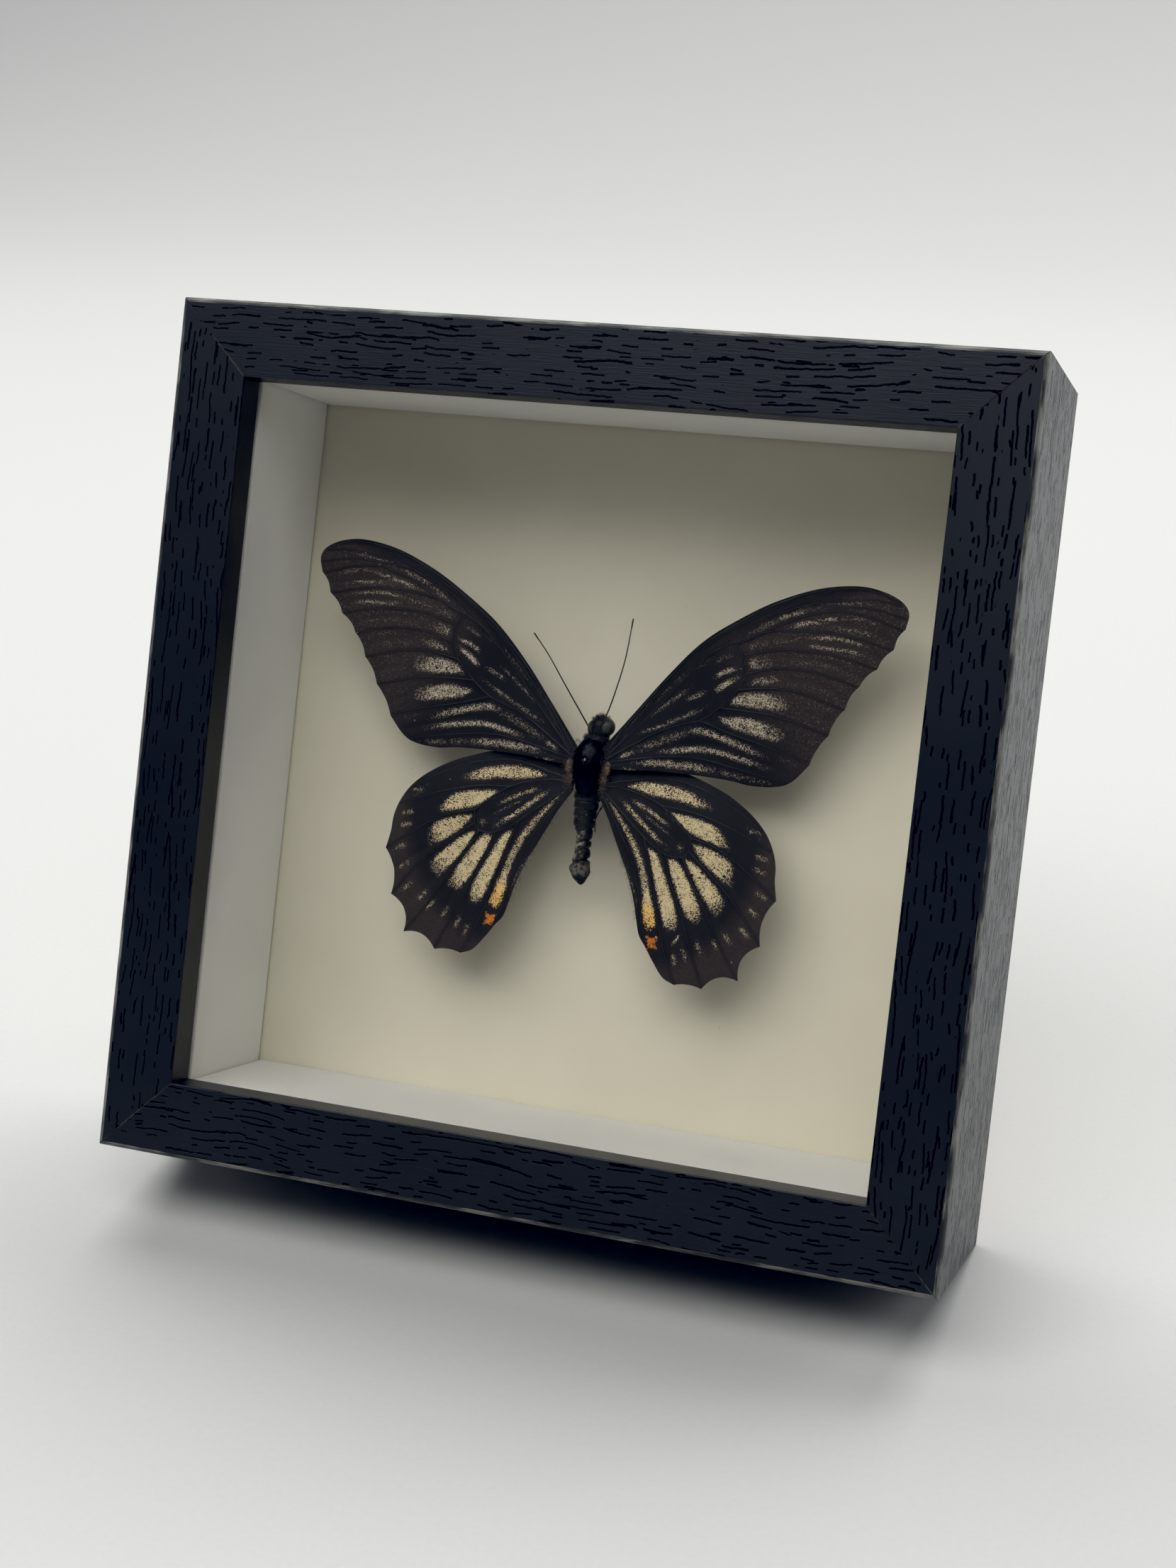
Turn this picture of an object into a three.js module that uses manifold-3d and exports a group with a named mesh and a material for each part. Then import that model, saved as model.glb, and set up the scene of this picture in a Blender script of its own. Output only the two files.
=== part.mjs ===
// A swallowtail butterfly pinned in a deep square box frame that leans back on a folding easel leg.
// Millimetres, +Z up, +Y away from the viewer. The origin is the middle of the bounding box's floor.
import * as THREE from "three";
import { mergeVertices } from "three/addons/utils/BufferGeometryUtils.js";
import Module from "manifold-3d";

const wasm = await Module();
wasm.setup();

// ---- Driving dimensions -------------------------------------------------------------------

const FRAME_SIDE = 150;
const FRAME_DEPTH = 44.4;
const LEAN = THREE.MathUtils.degToRad(20.3);
const FIT_GAP = 0.3;

// Moulding, as widths in from its outer side and depths back from its face.
const FACE_WIDTH = 13.1;
const WALL_WIDTH = 9.2;
const LIP_DEPTH = 6.4;
const EDGE_CHAMFER = 0.5;

// What the rebate holds, front to back.
const GLASS_THICKNESS = 2;
const LINER_THICKNESS = 3.2;
const BOARD_FRONT = 37.4;
const BOARD_THICKNESS = 2.5;
const PANEL_FRONT = 40.2;
const PANEL_THICKNESS = 2;

// Flexible points that hold the back panel in.
const POINT_LENGTH = 11;
const POINT_WIDTH = 7;
const POINT_THICKNESS = 0.5;
const POINT_SPREAD = 33;

// Sawtooth hanger on the top rail.
const HANGER_LENGTH = 44;
const HANGER_HEIGHT = 7;
const HANGER_THICKNESS = 0.8;
const HANGER_TEETH = 9;
const TOOTH_DEPTH = 1.5;
const NAIL_RADIUS = 0.6;
const NAIL_HEAD_RADIUS = 1.6;
const NAIL_SPREAD = 18;

// Easel leg and its hinge. Heights are from the underside of the frame.
const HINGE_HEIGHT = 112;
const HINGE_DEPTH = 47.4;
const LEG_SLANT = THREE.MathUtils.degToRad(13);
const LEG_OPENING = LEAN + LEG_SLANT;
const LEG_THICKNESS = 2.6;
const LEG_INNER_FACE = 45.2;
const LEG_TOP_WIDTH = 26;
const LEG_FOOT_WIDTH = 46;
const LEG_TOP_DROP = 4.5;
const SHEET_METAL = 0.8;
const BRACKET_WIDTH = 30;
const BRACKET_HEIGHT = 20;
const EAR_POSITION = 10;
const EAR_RADIUS = 2.3;
const BARREL_RADIUS = 1.5;
const BARREL_HALF_LENGTH = 9.3;
const HINGE_PIN_RADIUS = 0.75;
const HINGE_BORE_RADIUS = 1.05;
const LEAF_WIDTH = 16;
const LEAF_LENGTH = 20;
const RIVET_RADIUS = 1.7;
const RIVET_HEIGHT = 0.7;

// Butterfly. Wing places are (sideways from the body's middle, up from the frame's middle).
const FRAME_MIDDLE = FRAME_SIDE / 2;
const WING_THICKNESS = 0.3;
const WING_ROOT = 3.2;
const FOREWING_DEPTH = 25.3;
const HINDWING_DEPTH = 25.6;
const BODY_DEPTH = 26.3;
const PIN_RADIUS = 0.25;
const PIN_BORE_RADIUS = 0.55;
const PIN_HEIGHT = 2.4;
const PIN_SEAT_DEPTH = 1.8;

const FOREWING_COSTA = [
  [WING_ROOT, 5.4], [8, 12], [13, 18.4], [19, 24.9], [25.5, 29.6], [31.5, 33.1],
  [38.5, 35.9], [45, 37], [49.5, 36.5], [52.7, 35.1], [54, 33.2], [53.6, 30.6],
];
const FOREWING_VEIN_ENDS = [
  [53.6, 30.6], [51.9, 27], [49.4, 23.5], [46.6, 20.3], [44.5, 16.2], [42, 11.4], [39, 5.9],
];
const FOREWING_HIND_MARGIN = [
  [39, 5.9], [36.2, 2.7], [33.4, 1.5], [29.2, 1.2], [25, 1.7], [18.5, 1.9], [11, 1.7], [WING_ROOT, 1],
];
const HINDWING_COSTA = [
  [WING_ROOT, -1.4], [6, 0.6], [10, 1.9], [14.5, 2.2], [18.4, 1.8], [22.7, 0.4], [26.4, -1.2],
  [30.3, -3.7], [33.1, -6.4], [34.8, -9.3], [35.6, -12], [35.8, -14.8], [36.4, -17.9],
];
const HINDWING_TEETH = [
  [36.4, -17.9], [34.5, -26.1], [31.3, -32.6], [25, -34.9], [20, -34.9],
];
const HINDWING_INNER_MARGIN = [
  [20, -34.9], [17.8, -33.9], [15.7, -31.3], [14.1, -29], [12.7, -27.1], [11.8, -24], [11, -21],
  [9.6, -17.3], [7.9, -13.8], [6.2, -10.4], [4.6, -7.2], [WING_ROOT, -4],
];
const FOREWING_SCALLOP = 0.4;
const HINDWING_SCALLOPS = [1.1, 1.5, 1.3, 0.4];

// ---- Shared helpers -----------------------------------------------------------------------

const finishes = {
  foil: { color: 0x1d2430, roughness: 0.45, metalness: 0 },
  glass: { color: 0xdfe8e4, roughness: 0.02, metalness: 0, transparent: true, opacity: 0.25 },
  liner: { color: 0xdcdcdc, roughness: 0.75, metalness: 0 },
  paper: { color: 0xc9c2a6, roughness: 0.9, metalness: 0 },
  hardboard: { color: 0x5b3f29, roughness: 0.7, metalness: 0 },
  zinc: { color: 0xb4b6b8, roughness: 0.35, metalness: 1 },
  steel: { color: 0x9a9da0, roughness: 0.3, metalness: 1 },
  legboard: { color: 0x1a1a1b, roughness: 0.8, metalness: 0 },
  forewing: { color: 0x2b2622, roughness: 0.7, metalness: 0 },
  hindwing: { color: 0x2c2620, roughness: 0.7, metalness: 0 },
  body: { color: 0x141210, roughness: 0.4, metalness: 0 },
  limb: { color: 0x0e0c0b, roughness: 0.5, metalness: 0 },
};

function piece(name, geometry, finish) {
  const mesh = new THREE.Mesh(geometry, new THREE.MeshStandardMaterial(finishes[finish]));
  mesh.name = name;
  return mesh;
}

function toManifold(geometry) {
  const bare = geometry.clone();
  bare.deleteAttribute("normal");
  bare.deleteAttribute("uv");
  const merged = mergeVertices(bare);
  const vertProperties = new Float32Array(merged.attributes.position.array);
  const triVerts = new Uint32Array(merged.index.array);
  return new wasm.Manifold(new wasm.Mesh({ numProp: 3, vertProperties, triVerts }));
}

function fromManifold(manifold) {
  const mesh = manifold.getMesh();
  const geometry = new THREE.BufferGeometry();
  geometry.setAttribute("position", new THREE.BufferAttribute(mesh.vertProperties, 3));
  geometry.setIndex(new THREE.BufferAttribute(mesh.triVerts, 1));
  geometry.computeVertexNormals();
  return geometry;
}

function block(low, high) {
  const size = high.map((value, axis) => value - low[axis]);
  const geometry = new THREE.BoxGeometry(...size);
  return geometry.translate(...low.map((value, axis) => value + size[axis] / 2));
}

// A rod between two depths, standing square to the frame's face.
function rodThrough(x, z, radius, front, back, sides = 12) {
  const rod = new THREE.CylinderGeometry(radius, radius, back - front, sides);
  return rod.translate(x, (front + back) / 2, z);
}

// A rod that lies across the frame.
function rodAcross(radius, halfLength, sides = 12) {
  return new THREE.CylinderGeometry(radius, radius, 2 * halfLength, sides).rotateZ(Math.PI / 2);
}

function shapeOf(points) {
  return new THREE.Shape(points.map(([x, y]) => new THREE.Vector2(x, y)));
}

// An outline drawn on the frame's face, standing as a plate between two depths.
function plate(shape, front, back, curveSegments = 6) {
  const settings = { depth: back - front, bevelEnabled: false, curveSegments };
  return new THREE.ExtrudeGeometry(shape, settings).rotateX(Math.PI / 2).translate(0, back, 0);
}

// ---- Moulding -----------------------------------------------------------------------------

// The profile in (in from the outer side, back from the face).
function mouldingProfile() {
  return shapeOf([
    [0, EDGE_CHAMFER], [EDGE_CHAMFER, 0], [FACE_WIDTH, 0], [FACE_WIDTH, LIP_DEPTH],
    [WALL_WIDTH, LIP_DEPTH], [WALL_WIDTH, FRAME_DEPTH], [0, FRAME_DEPTH],
  ]);
}

// One rail along the frame's underside, its ends cut at 45 degrees.
function mitredRail() {
  const endGap = FIT_GAP / Math.SQRT2;
  const rail = new THREE.ExtrudeGeometry(mouldingProfile(), { depth: 1, bevelEnabled: false });
  const place = rail.attributes.position;
  for (let i = 0; i < place.count; i += 1) {
    const inward = place.getX(i);
    const side = place.getZ(i) > 0.5 ? -1 : 1;
    const reach = FRAME_SIDE / 2 - inward - endGap;
    place.setXYZ(i, side * reach, place.getY(i), inward);
  }
  rail.computeVertexNormals();
  return rail;
}

function rails() {
  const turns = { rail_bottom: 0, rail_right: 1, rail_top: 2, rail_left: 3 };
  return Object.entries(turns).map(([name, quarter]) => {
    const rail = mitredRail().translate(0, 0, -FRAME_SIDE / 2);
    rail.rotateY((-quarter * Math.PI) / 2).translate(0, 0, FRAME_SIDE / 2);
    return piece(name, rail, "foil");
  });
}

// ---- Glass, liner, board and back ---------------------------------------------------------

// A square sheet in the rebate, optionally with a pin seat.
function rebateSheet(front, thickness) {
  const inset = WALL_WIDTH + FIT_GAP;
  const side = FRAME_SIDE / 2 - inset;
  return block([-side, front, inset], [side, front + thickness, FRAME_SIDE - inset]);
}

function glassPane() {
  return piece("glass_pane", rebateSheet(LIP_DEPTH + FIT_GAP, GLASS_THICKNESS), "glass");
}

function linerPanels() {
  const front = LIP_DEPTH + GLASS_THICKNESS + 2 * FIT_GAP;
  const back = BOARD_FRONT - FIT_GAP;
  const low = WALL_WIDTH + FIT_GAP;
  const high = FRAME_SIDE - low;
  const outer = FRAME_SIDE / 2 - low;
  const inner = outer - LINER_THICKNESS;
  const between = inner - FIT_GAP;
  const panels = {
    liner_left: block([-outer, front, low], [-inner, back, high]),
    liner_right: block([inner, front, low], [outer, back, high]),
    liner_bottom: block([-between, front, low], [between, back, low + LINER_THICKNESS]),
    liner_top: block([-between, front, high - LINER_THICKNESS], [between, back, high]),
  };
  return Object.entries(panels).map(([name, panel]) => piece(name, panel, "liner"));
}

function mountBoard() {
  const sheet = toManifold(rebateSheet(BOARD_FRONT, BOARD_THICKNESS));
  const seatFront = BOARD_FRONT - 1;
  const seatBack = BOARD_FRONT + PIN_SEAT_DEPTH + FIT_GAP;
  const seat = rodThrough(0, FRAME_MIDDLE + PIN_HEIGHT, PIN_BORE_RADIUS, seatFront, seatBack);
  return piece("mount_board", fromManifold(sheet.subtract(toManifold(seat))), "paper");
}

function backPanel() {
  return piece("back_panel", rebateSheet(PANEL_FRONT, PANEL_THICKNESS), "hardboard");
}

// Two points on each rail, each a thin tongue that lies on the back panel.
function flexiblePoints() {
  const front = PANEL_FRONT + PANEL_THICKNESS + FIT_GAP;
  const root = WALL_WIDTH + FIT_GAP;
  const points = [];
  for (let quarter = 0; quarter < 4; quarter += 1) {
    for (const side of [-1, 1]) {
      const middle = side * POINT_SPREAD;
      const tongue = shapeOf([
        [middle - POINT_WIDTH / 2, root], [middle + POINT_WIDTH / 2, root],
        [middle + POINT_WIDTH / 2, root + POINT_LENGTH - 3], [middle, root + POINT_LENGTH],
        [middle - POINT_WIDTH / 2, root + POINT_LENGTH - 3],
      ]);
      const geometry = plate(tongue, front, front + POINT_THICKNESS);
      geometry.translate(0, 0, -FRAME_SIDE / 2);
      geometry.rotateY((-quarter * Math.PI) / 2).translate(0, 0, FRAME_SIDE / 2);
      points.push(piece(`flexible_point_${points.length + 1}`, geometry, "zinc"));
    }
  }
  return points;
}

// ---- Hanger -------------------------------------------------------------------------------

function sawtoothHanger() {
  const top = FRAME_SIDE - 1;
  const bottom = top - HANGER_HEIGHT;
  const half = HANGER_LENGTH / 2;
  const pitch = (HANGER_LENGTH * 0.55) / HANGER_TEETH;
  const first = (-HANGER_TEETH * pitch) / 2;
  const outline = [[half, bottom], [half, top], [-half, top], [-half, bottom], [first, bottom]];
  for (let tooth = 0; tooth < HANGER_TEETH; tooth += 1) {
    outline.push([first + (tooth + 0.5) * pitch, bottom + TOOTH_DEPTH]);
    outline.push([first + (tooth + 1) * pitch, bottom]);
  }
  const shape = shapeOf(outline);
  for (const side of [-1, 1]) {
    const hole = new THREE.Path();
    hole.absarc(side * NAIL_SPREAD, top - HANGER_HEIGHT / 2, NAIL_RADIUS + FIT_GAP, 0, 2 * Math.PI);
    shape.holes.push(hole);
  }
  const front = FRAME_DEPTH + FIT_GAP;
  return piece("sawtooth_hanger", plate(shape, front, front + HANGER_THICKNESS, 5), "zinc");
}

// A nail head with the short length of shank that stands proud of the rail.
function hangerNails() {
  const height = FRAME_SIDE - 1 - HANGER_HEIGHT / 2;
  const shankFront = FRAME_DEPTH + FIT_GAP / 2;
  const headFront = FRAME_DEPTH + 2 * FIT_GAP + HANGER_THICKNESS;
  return [-1, 1].map((side, index) => {
    const profile = [
      [0, 0], [NAIL_RADIUS, 0], [NAIL_RADIUS, headFront - shankFront],
      [NAIL_HEAD_RADIUS, headFront - shankFront], [NAIL_HEAD_RADIUS * 0.8, headFront - shankFront + 0.5],
      [0, headFront - shankFront + 0.6],
    ].map(([radius, along]) => new THREE.Vector2(radius, along));
    const nail = new THREE.LatheGeometry(profile, 12);
    nail.translate(side * NAIL_SPREAD, shankFront, height);
    return piece(`hanger_nail_${index + 1}`, nail, "steel");
  });
}

// ---- Easel leg and hinge ------------------------------------------------------------------

// A domed rivet head that faces the back.
function rivetHead(name, x, y, z) {
  const profile = [[0, 0], [RIVET_RADIUS, 0], [RIVET_RADIUS * 0.75, RIVET_HEIGHT * 0.7], [0, RIVET_HEIGHT]];
  const dome = new THREE.LatheGeometry(profile.map(([r, a]) => new THREE.Vector2(r, a)), 12);
  return piece(name, dome.translate(x, y, z), "steel");
}

// A plate on the back panel with two bored ears that carry the hinge pin.
function hingeBracket() {
  const front = PANEL_FRONT + PANEL_THICKNESS + FIT_GAP;
  const back = front + SHEET_METAL;
  const half = BRACKET_WIDTH / 2;
  const base = block([-half, front, HINGE_HEIGHT - 8], [half, back, HINGE_HEIGHT - 8 + BRACKET_HEIGHT]);
  let bracket = toManifold(base);
  for (const side of [-1, 1]) {
    const inner = side * EAR_POSITION;
    const outer = side * (EAR_POSITION + SHEET_METAL);
    const low = [Math.min(inner, outer), back - SHEET_METAL / 2, HINGE_HEIGHT - EAR_RADIUS];
    const high = [Math.max(inner, outer), HINGE_DEPTH, HINGE_HEIGHT + EAR_RADIUS];
    const eye = rodAcross(EAR_RADIUS, SHEET_METAL / 2);
    eye.translate((inner + outer) / 2, HINGE_DEPTH, HINGE_HEIGHT);
    bracket = bracket.add(toManifold(block(low, high))).add(toManifold(eye));
  }
  const bore = rodAcross(HINGE_BORE_RADIUS, EAR_POSITION + 3);
  bore.translate(0, HINGE_DEPTH, HINGE_HEIGHT);
  return piece("hinge_bracket", fromManifold(bracket.subtract(toManifold(bore))), "steel");
}

function bracketRivets() {
  const back = PANEL_FRONT + PANEL_THICKNESS + 2 * FIT_GAP + SHEET_METAL;
  const rivets = [];
  for (const x of [-1, 1]) {
    for (const z of [-1, 1]) {
      const height = HINGE_HEIGHT + 2 + z * (BRACKET_HEIGHT / 2 - 3);
      const across = x * (BRACKET_WIDTH / 2 - 2.3);
      rivets.push(rivetHead(`bracket_rivet_${rivets.length + 1}`, across, back, height));
    }
  }
  return rivets;
}

function hingePin() {
  const pin = rodAcross(HINGE_PIN_RADIUS, EAR_POSITION + SHEET_METAL + 0.8);
  return piece("hinge_pin", pin.translate(0, HINGE_DEPTH, HINGE_HEIGHT), "steel");
}

// The leg's parts are drawn folded flat, about the hinge axis, and swung open as one group.
function legBoard() {
  const inner = LEG_INNER_FACE - HINGE_DEPTH;
  const outer = inner + LEG_THICKNESS;
  const axisHeight = HINGE_HEIGHT * Math.cos(LEAN) - (HINGE_DEPTH - FRAME_DEPTH) * Math.sin(LEAN);
  const footAt = (depth) => -(axisHeight + depth * Math.sin(LEG_SLANT)) / Math.cos(LEG_SLANT);
  const side = new THREE.Shape([
    new THREE.Vector2(inner, -LEG_TOP_DROP), new THREE.Vector2(inner, footAt(inner)),
    new THREE.Vector2(outer, footAt(outer)), new THREE.Vector2(outer, -LEG_TOP_DROP),
  ]);
  const board = new THREE.ExtrudeGeometry(side, { depth: 1, bevelEnabled: false });
  const place = board.attributes.position;
  const length = -footAt(outer) - LEG_TOP_DROP;
  for (let i = 0; i < place.count; i += 1) {
    const depth = place.getX(i);
    const height = place.getY(i);
    const along = (-height - LEG_TOP_DROP) / length;
    const half = THREE.MathUtils.lerp(LEG_TOP_WIDTH, LEG_FOOT_WIDTH, along) / 2;
    place.setXYZ(i, (place.getZ(i) > 0.5 ? 1 : -1) * half, depth, height);
  }
  board.computeVertexNormals();
  return piece("easel_leg", board, "legboard");
}

// A rolled barrel on the hinge pin with a flat leaf that lies on the leg's back face.
function hingeLeaf() {
  const front = LEG_INNER_FACE + LEG_THICKNESS + FIT_GAP - HINGE_DEPTH;
  const back = front + SHEET_METAL;
  const half = LEAF_WIDTH / 2;
  const barrel = toManifold(rodAcross(BARREL_RADIUS, BARREL_HALF_LENGTH));
  const leaf = toManifold(block([-half, front, -LEAF_LENGTH], [half, back, 0]));
  const bore = toManifold(rodAcross(HINGE_BORE_RADIUS, EAR_POSITION + 3));
  return piece("hinge_leaf", fromManifold(barrel.add(leaf).subtract(bore)), "steel");
}

function leafRivets() {
  const back = LEG_INNER_FACE + LEG_THICKNESS + 2 * FIT_GAP + SHEET_METAL - HINGE_DEPTH;
  return [-1, 1].map((side, index) => {
    return rivetHead(`leaf_rivet_${index + 1}`, side * (LEAF_WIDTH / 2 - 3.5), back, -LEAF_LENGTH + 5);
  });
}

function easelLeg() {
  const leg = new THREE.Group();
  leg.add(legBoard(), hingeLeaf(), ...leafRivets());
  leg.position.set(0, HINGE_DEPTH, HINGE_HEIGHT);
  leg.rotation.x = LEG_OPENING;
  return leg;
}

// ---- Wings --------------------------------------------------------------------------------

// Forewing surface: a flat blade twisted about its long axis, leading edge towards the viewer.
function forewingDepth(across, up) {
  const angle = THREE.MathUtils.degToRad(19.5);
  const ahead = (up - 4) * Math.cos(angle) - (across - 3.5) * Math.sin(angle);
  const along = (across - 3.5) * Math.cos(angle) + (up - 4) * Math.sin(angle);
  return FOREWING_DEPTH - 0.22 * ahead * THREE.MathUtils.clamp(along / 25, 0, 1);
}

// Hindwing surface: nearly flat, with its leading edge tucked down behind the forewing.
function hindwingDepth(across, up) {
  return HINDWING_DEPTH + 1.3 * Math.exp(-(((up - 3) / 5.5) ** 2));
}

// Adds an inward curve of a given depth from the shape's last point to the next vein's end.
function scallopTo(shape, from, to, depth) {
  const span = new THREE.Vector2(to[0] - from[0], to[1] - from[1]);
  const inward = new THREE.Vector2(span.y, -span.x).normalize().multiplyScalar(2 * depth);
  const control = new THREE.Vector2((from[0] + to[0]) / 2, (from[1] + to[1]) / 2).add(inward);
  shape.quadraticCurveTo(control.x, control.y, to[0], to[1]);
}

function wingShape(leading, veinEnds, depths, trailing) {
  const asVectors = (points) => points.slice(1).map(([x, y]) => new THREE.Vector2(x, y));
  const shape = new THREE.Shape();
  shape.moveTo(...leading[0]);
  shape.splineThru(asVectors(leading));
  veinEnds.slice(1).forEach((end, index) => scallopTo(shape, veinEnds[index], end, depths[index]));
  shape.splineThru(asVectors(trailing));
  shape.closePath();
  return shape;
}

// Cuts the wing's outline out of a thin sheet that follows the wing's surface.
function wing(name, shape, depthAt, side, finish) {
  const outline = new THREE.Shape(shape.getPoints(2).map((p) => new THREE.Vector2(side * p.x, p.y)));
  const cutter = new THREE.ExtrudeGeometry(outline, { depth: 30, bevelEnabled: false });
  cutter.rotateX(Math.PI / 2).translate(0, 40, 0);
  const sheet = new THREE.BoxGeometry(58, WING_THICKNESS, 76, 12, 1, 16).translate(29, 0, 0);
  if (side < 0) {
    sheet.rotateZ(Math.PI);
  }
  const place = sheet.attributes.position;
  for (let i = 0; i < place.count; i += 1) {
    const depth = depthAt(Math.abs(place.getX(i)), place.getZ(i));
    place.setY(i, place.getY(i) + depth);
  }
  const cut = toManifold(sheet).intersect(toManifold(cutter));
  return piece(name, fromManifold(cut).translate(0, 0, FRAME_MIDDLE), finish);
}

function wings() {
  const foreDepths = FOREWING_VEIN_ENDS.slice(1).map(() => FOREWING_SCALLOP);
  const fore = wingShape(FOREWING_COSTA, FOREWING_VEIN_ENDS, foreDepths, FOREWING_HIND_MARGIN);
  const hind = wingShape(HINDWING_COSTA, HINDWING_TEETH, HINDWING_SCALLOPS, HINDWING_INNER_MARGIN);
  return [
    wing("forewing_right", fore, forewingDepth, 1, "forewing"),
    wing("forewing_left", fore, forewingDepth, -1, "forewing"),
    wing("hindwing_right", hind, hindwingDepth, 1, "hindwing"),
    wing("hindwing_left", hind, hindwingDepth, -1, "hindwing"),
  ];
}

// ---- Body, antennae, legs and pin ---------------------------------------------------------

function ellipsoid(centre, radii, around = 16, up = 10) {
  return new THREE.SphereGeometry(1, around, up).scale(...radii).translate(...centre);
}

// Abdomen: a turned profile with a dent at each joint, that droops and bends towards its tip.
function abdomen() {
  const joints = 7;
  const start = -3.5;
  const end = -19.6;
  const profile = [new THREE.Vector2(0, 0)];
  for (let step = 0; step <= 2 * joints; step += 1) {
    const along = step / (2 * joints);
    const waist = 2.35 - 0.95 * Math.sin(Math.PI * Math.min(along * 1.05, 1) ** 1.2);
    const taper = along > 0.9 ? 0.62 : 1;
    const dent = step % 2 === 0 ? 0.88 : 1.05;
    profile.push(new THREE.Vector2(waist * taper * dent, 0.4 + along * (start - end - 0.8)));
  }
  profile.push(new THREE.Vector2(0, start - end));
  const form = new THREE.LatheGeometry(profile, 14).rotateX(-Math.PI / 2);
  const place = form.attributes.position;
  for (let i = 0; i < place.count; i += 1) {
    const height = start + place.getZ(i);
    const along = (start - height) / (start - end);
    const bend = 0.5 * along ** 2;
    const droop = BODY_DEPTH + 0.9 + 0.6 * along;
    place.setXYZ(i, place.getX(i) + bend, place.getY(i) + droop, height);
  }
  return form;
}

// Head, thorax and abdomen are one solid, bored for the pin.
function body() {
  const parts = [
    ellipsoid([0, BODY_DEPTH, 1], [2.8, 2.9, 5.6]),
    ellipsoid([0.3, BODY_DEPTH + 0.7, 6.2], [2.1, 2, 1.8], 12, 8),
    ellipsoid([0.7, BODY_DEPTH + 1.4, 8.3], [1.9, 2, 2.1], 12, 8),
    ellipsoid([-0.9, BODY_DEPTH + 1.6, 8.6], [1.15, 1.25, 1.3], 10, 8),
    ellipsoid([2.3, BODY_DEPTH + 1.4, 8.5], [1.15, 1.25, 1.3], 10, 8),
    abdomen(),
  ];
  const bore = rodThrough(0, PIN_HEIGHT, PIN_BORE_RADIUS, BODY_DEPTH - 6, BODY_DEPTH + 6);
  const joined = parts.map(toManifold).reduce((whole, part) => whole.add(part));
  const bored = joined.subtract(toManifold(bore));
  return piece("body", fromManifold(bored).translate(0, 0, FRAME_MIDDLE), "body");
}

// A round limb along hand-placed points, given as (across, depth, up from the frame's middle).
function limb(name, points, radius, steps, sides = 6) {
  const path = new THREE.CatmullRomCurve3(points.map((point) => new THREE.Vector3(...point)));
  const ring = [];
  for (let side = 0; side < sides; side += 1) {
    const angle = (2 * Math.PI * side) / sides;
    ring.push([radius * Math.cos(angle), radius * Math.sin(angle)]);
  }
  const settings = { steps, bevelEnabled: false, extrudePath: path };
  const tube = new THREE.ExtrudeGeometry(shapeOf(ring), settings);
  return piece(name, tube.translate(0, 0, FRAME_MIDDLE), "limb");
}

function antennae() {
  const left = [[-0.9, 26.2, 10.4], [-5.4, 25.6, 15.2], [-9.4, 25.5, 19.6], [-12.8, 26, 23.7]];
  const right = [[1.6, 26.2, 10.8], [3.6, 25.8, 15.9], [4.8, 25.7, 22], [5.2, 26, 27.9]];
  return [limb("antenna_left", left, 0.2, 12), limb("antenna_right", right, 0.2, 12)];
}

// Three pairs of legs folded back under the thorax.
function legs() {
  const pairs = { front: 4.2, middle: 1.6, hind: -1 };
  const under = BODY_DEPTH + 3.4;
  return Object.entries(pairs).flatMap(([pair, height], index) => [-1, 1].map((side) => {
    const spread = side * (1 + 0.7 * index);
    const points = [
      [spread, under, height], [spread + side * 1.1, under + 1.4, height - 1.2],
      [spread + side * 0.9, under + 1.5, height - 4.2], [spread, under + 0.9, height - 7],
      [spread - side * 0.2, under + 1.3, height - 9.6],
    ];
    return limb(`leg_${pair}_${side < 0 ? "left" : "right"}`, points, 0.2, 10, 5);
  }));
}

// The pin stands in the board and ends level with the top of the thorax.
function specimenPin() {
  const front = BODY_DEPTH - 3.1;
  const back = BOARD_FRONT + PIN_SEAT_DEPTH;
  const pin = rodThrough(0, FRAME_MIDDLE + PIN_HEIGHT, PIN_RADIUS, front, back, 8);
  return piece("specimen_pin", pin, "steel");
}

// ---- Assembly -----------------------------------------------------------------------------

function boxFrame() {
  const box = new THREE.Group();
  box.add(...rails(), glassPane(), ...linerPanels(), mountBoard(), backPanel());
  box.add(...flexiblePoints(), sawtoothHanger(), ...hangerNails());
  box.add(hingeBracket(), ...bracketRivets(), hingePin(), easelLeg());
  box.add(...wings(), body(), ...antennae(), ...legs(), specimenPin());
  box.position.y = -FRAME_DEPTH;
  return box;
}

// The frame leans about the lower edge of its back, which stays on the table.
const leaning = new THREE.Group();
leaning.add(boxFrame());
leaning.rotation.x = -LEAN;

const framedButterfly = new THREE.Group();
framedButterfly.add(leaning);
framedButterfly.updateMatrixWorld(true);
const extent = new THREE.Box3().setFromObject(framedButterfly, true);
leaning.position.y = -(extent.min.y + extent.max.y) / 2;

export default framedButterfly;
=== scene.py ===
"""A swallowtail butterfly in a deep box frame that leans back on a folding easel leg.

Every piece is modelled upright, in millimetres: x to the right, y back from the frame's face and z up
from its underside. It is then scaled to metres and tipped back to where the frame stands.
"""
import logging
import math
from dataclasses import dataclass
from enum import Enum
from typing import Callable, Sequence

import bpy
import numpy as np
from mathutils import Euler, Matrix, Vector


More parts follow.
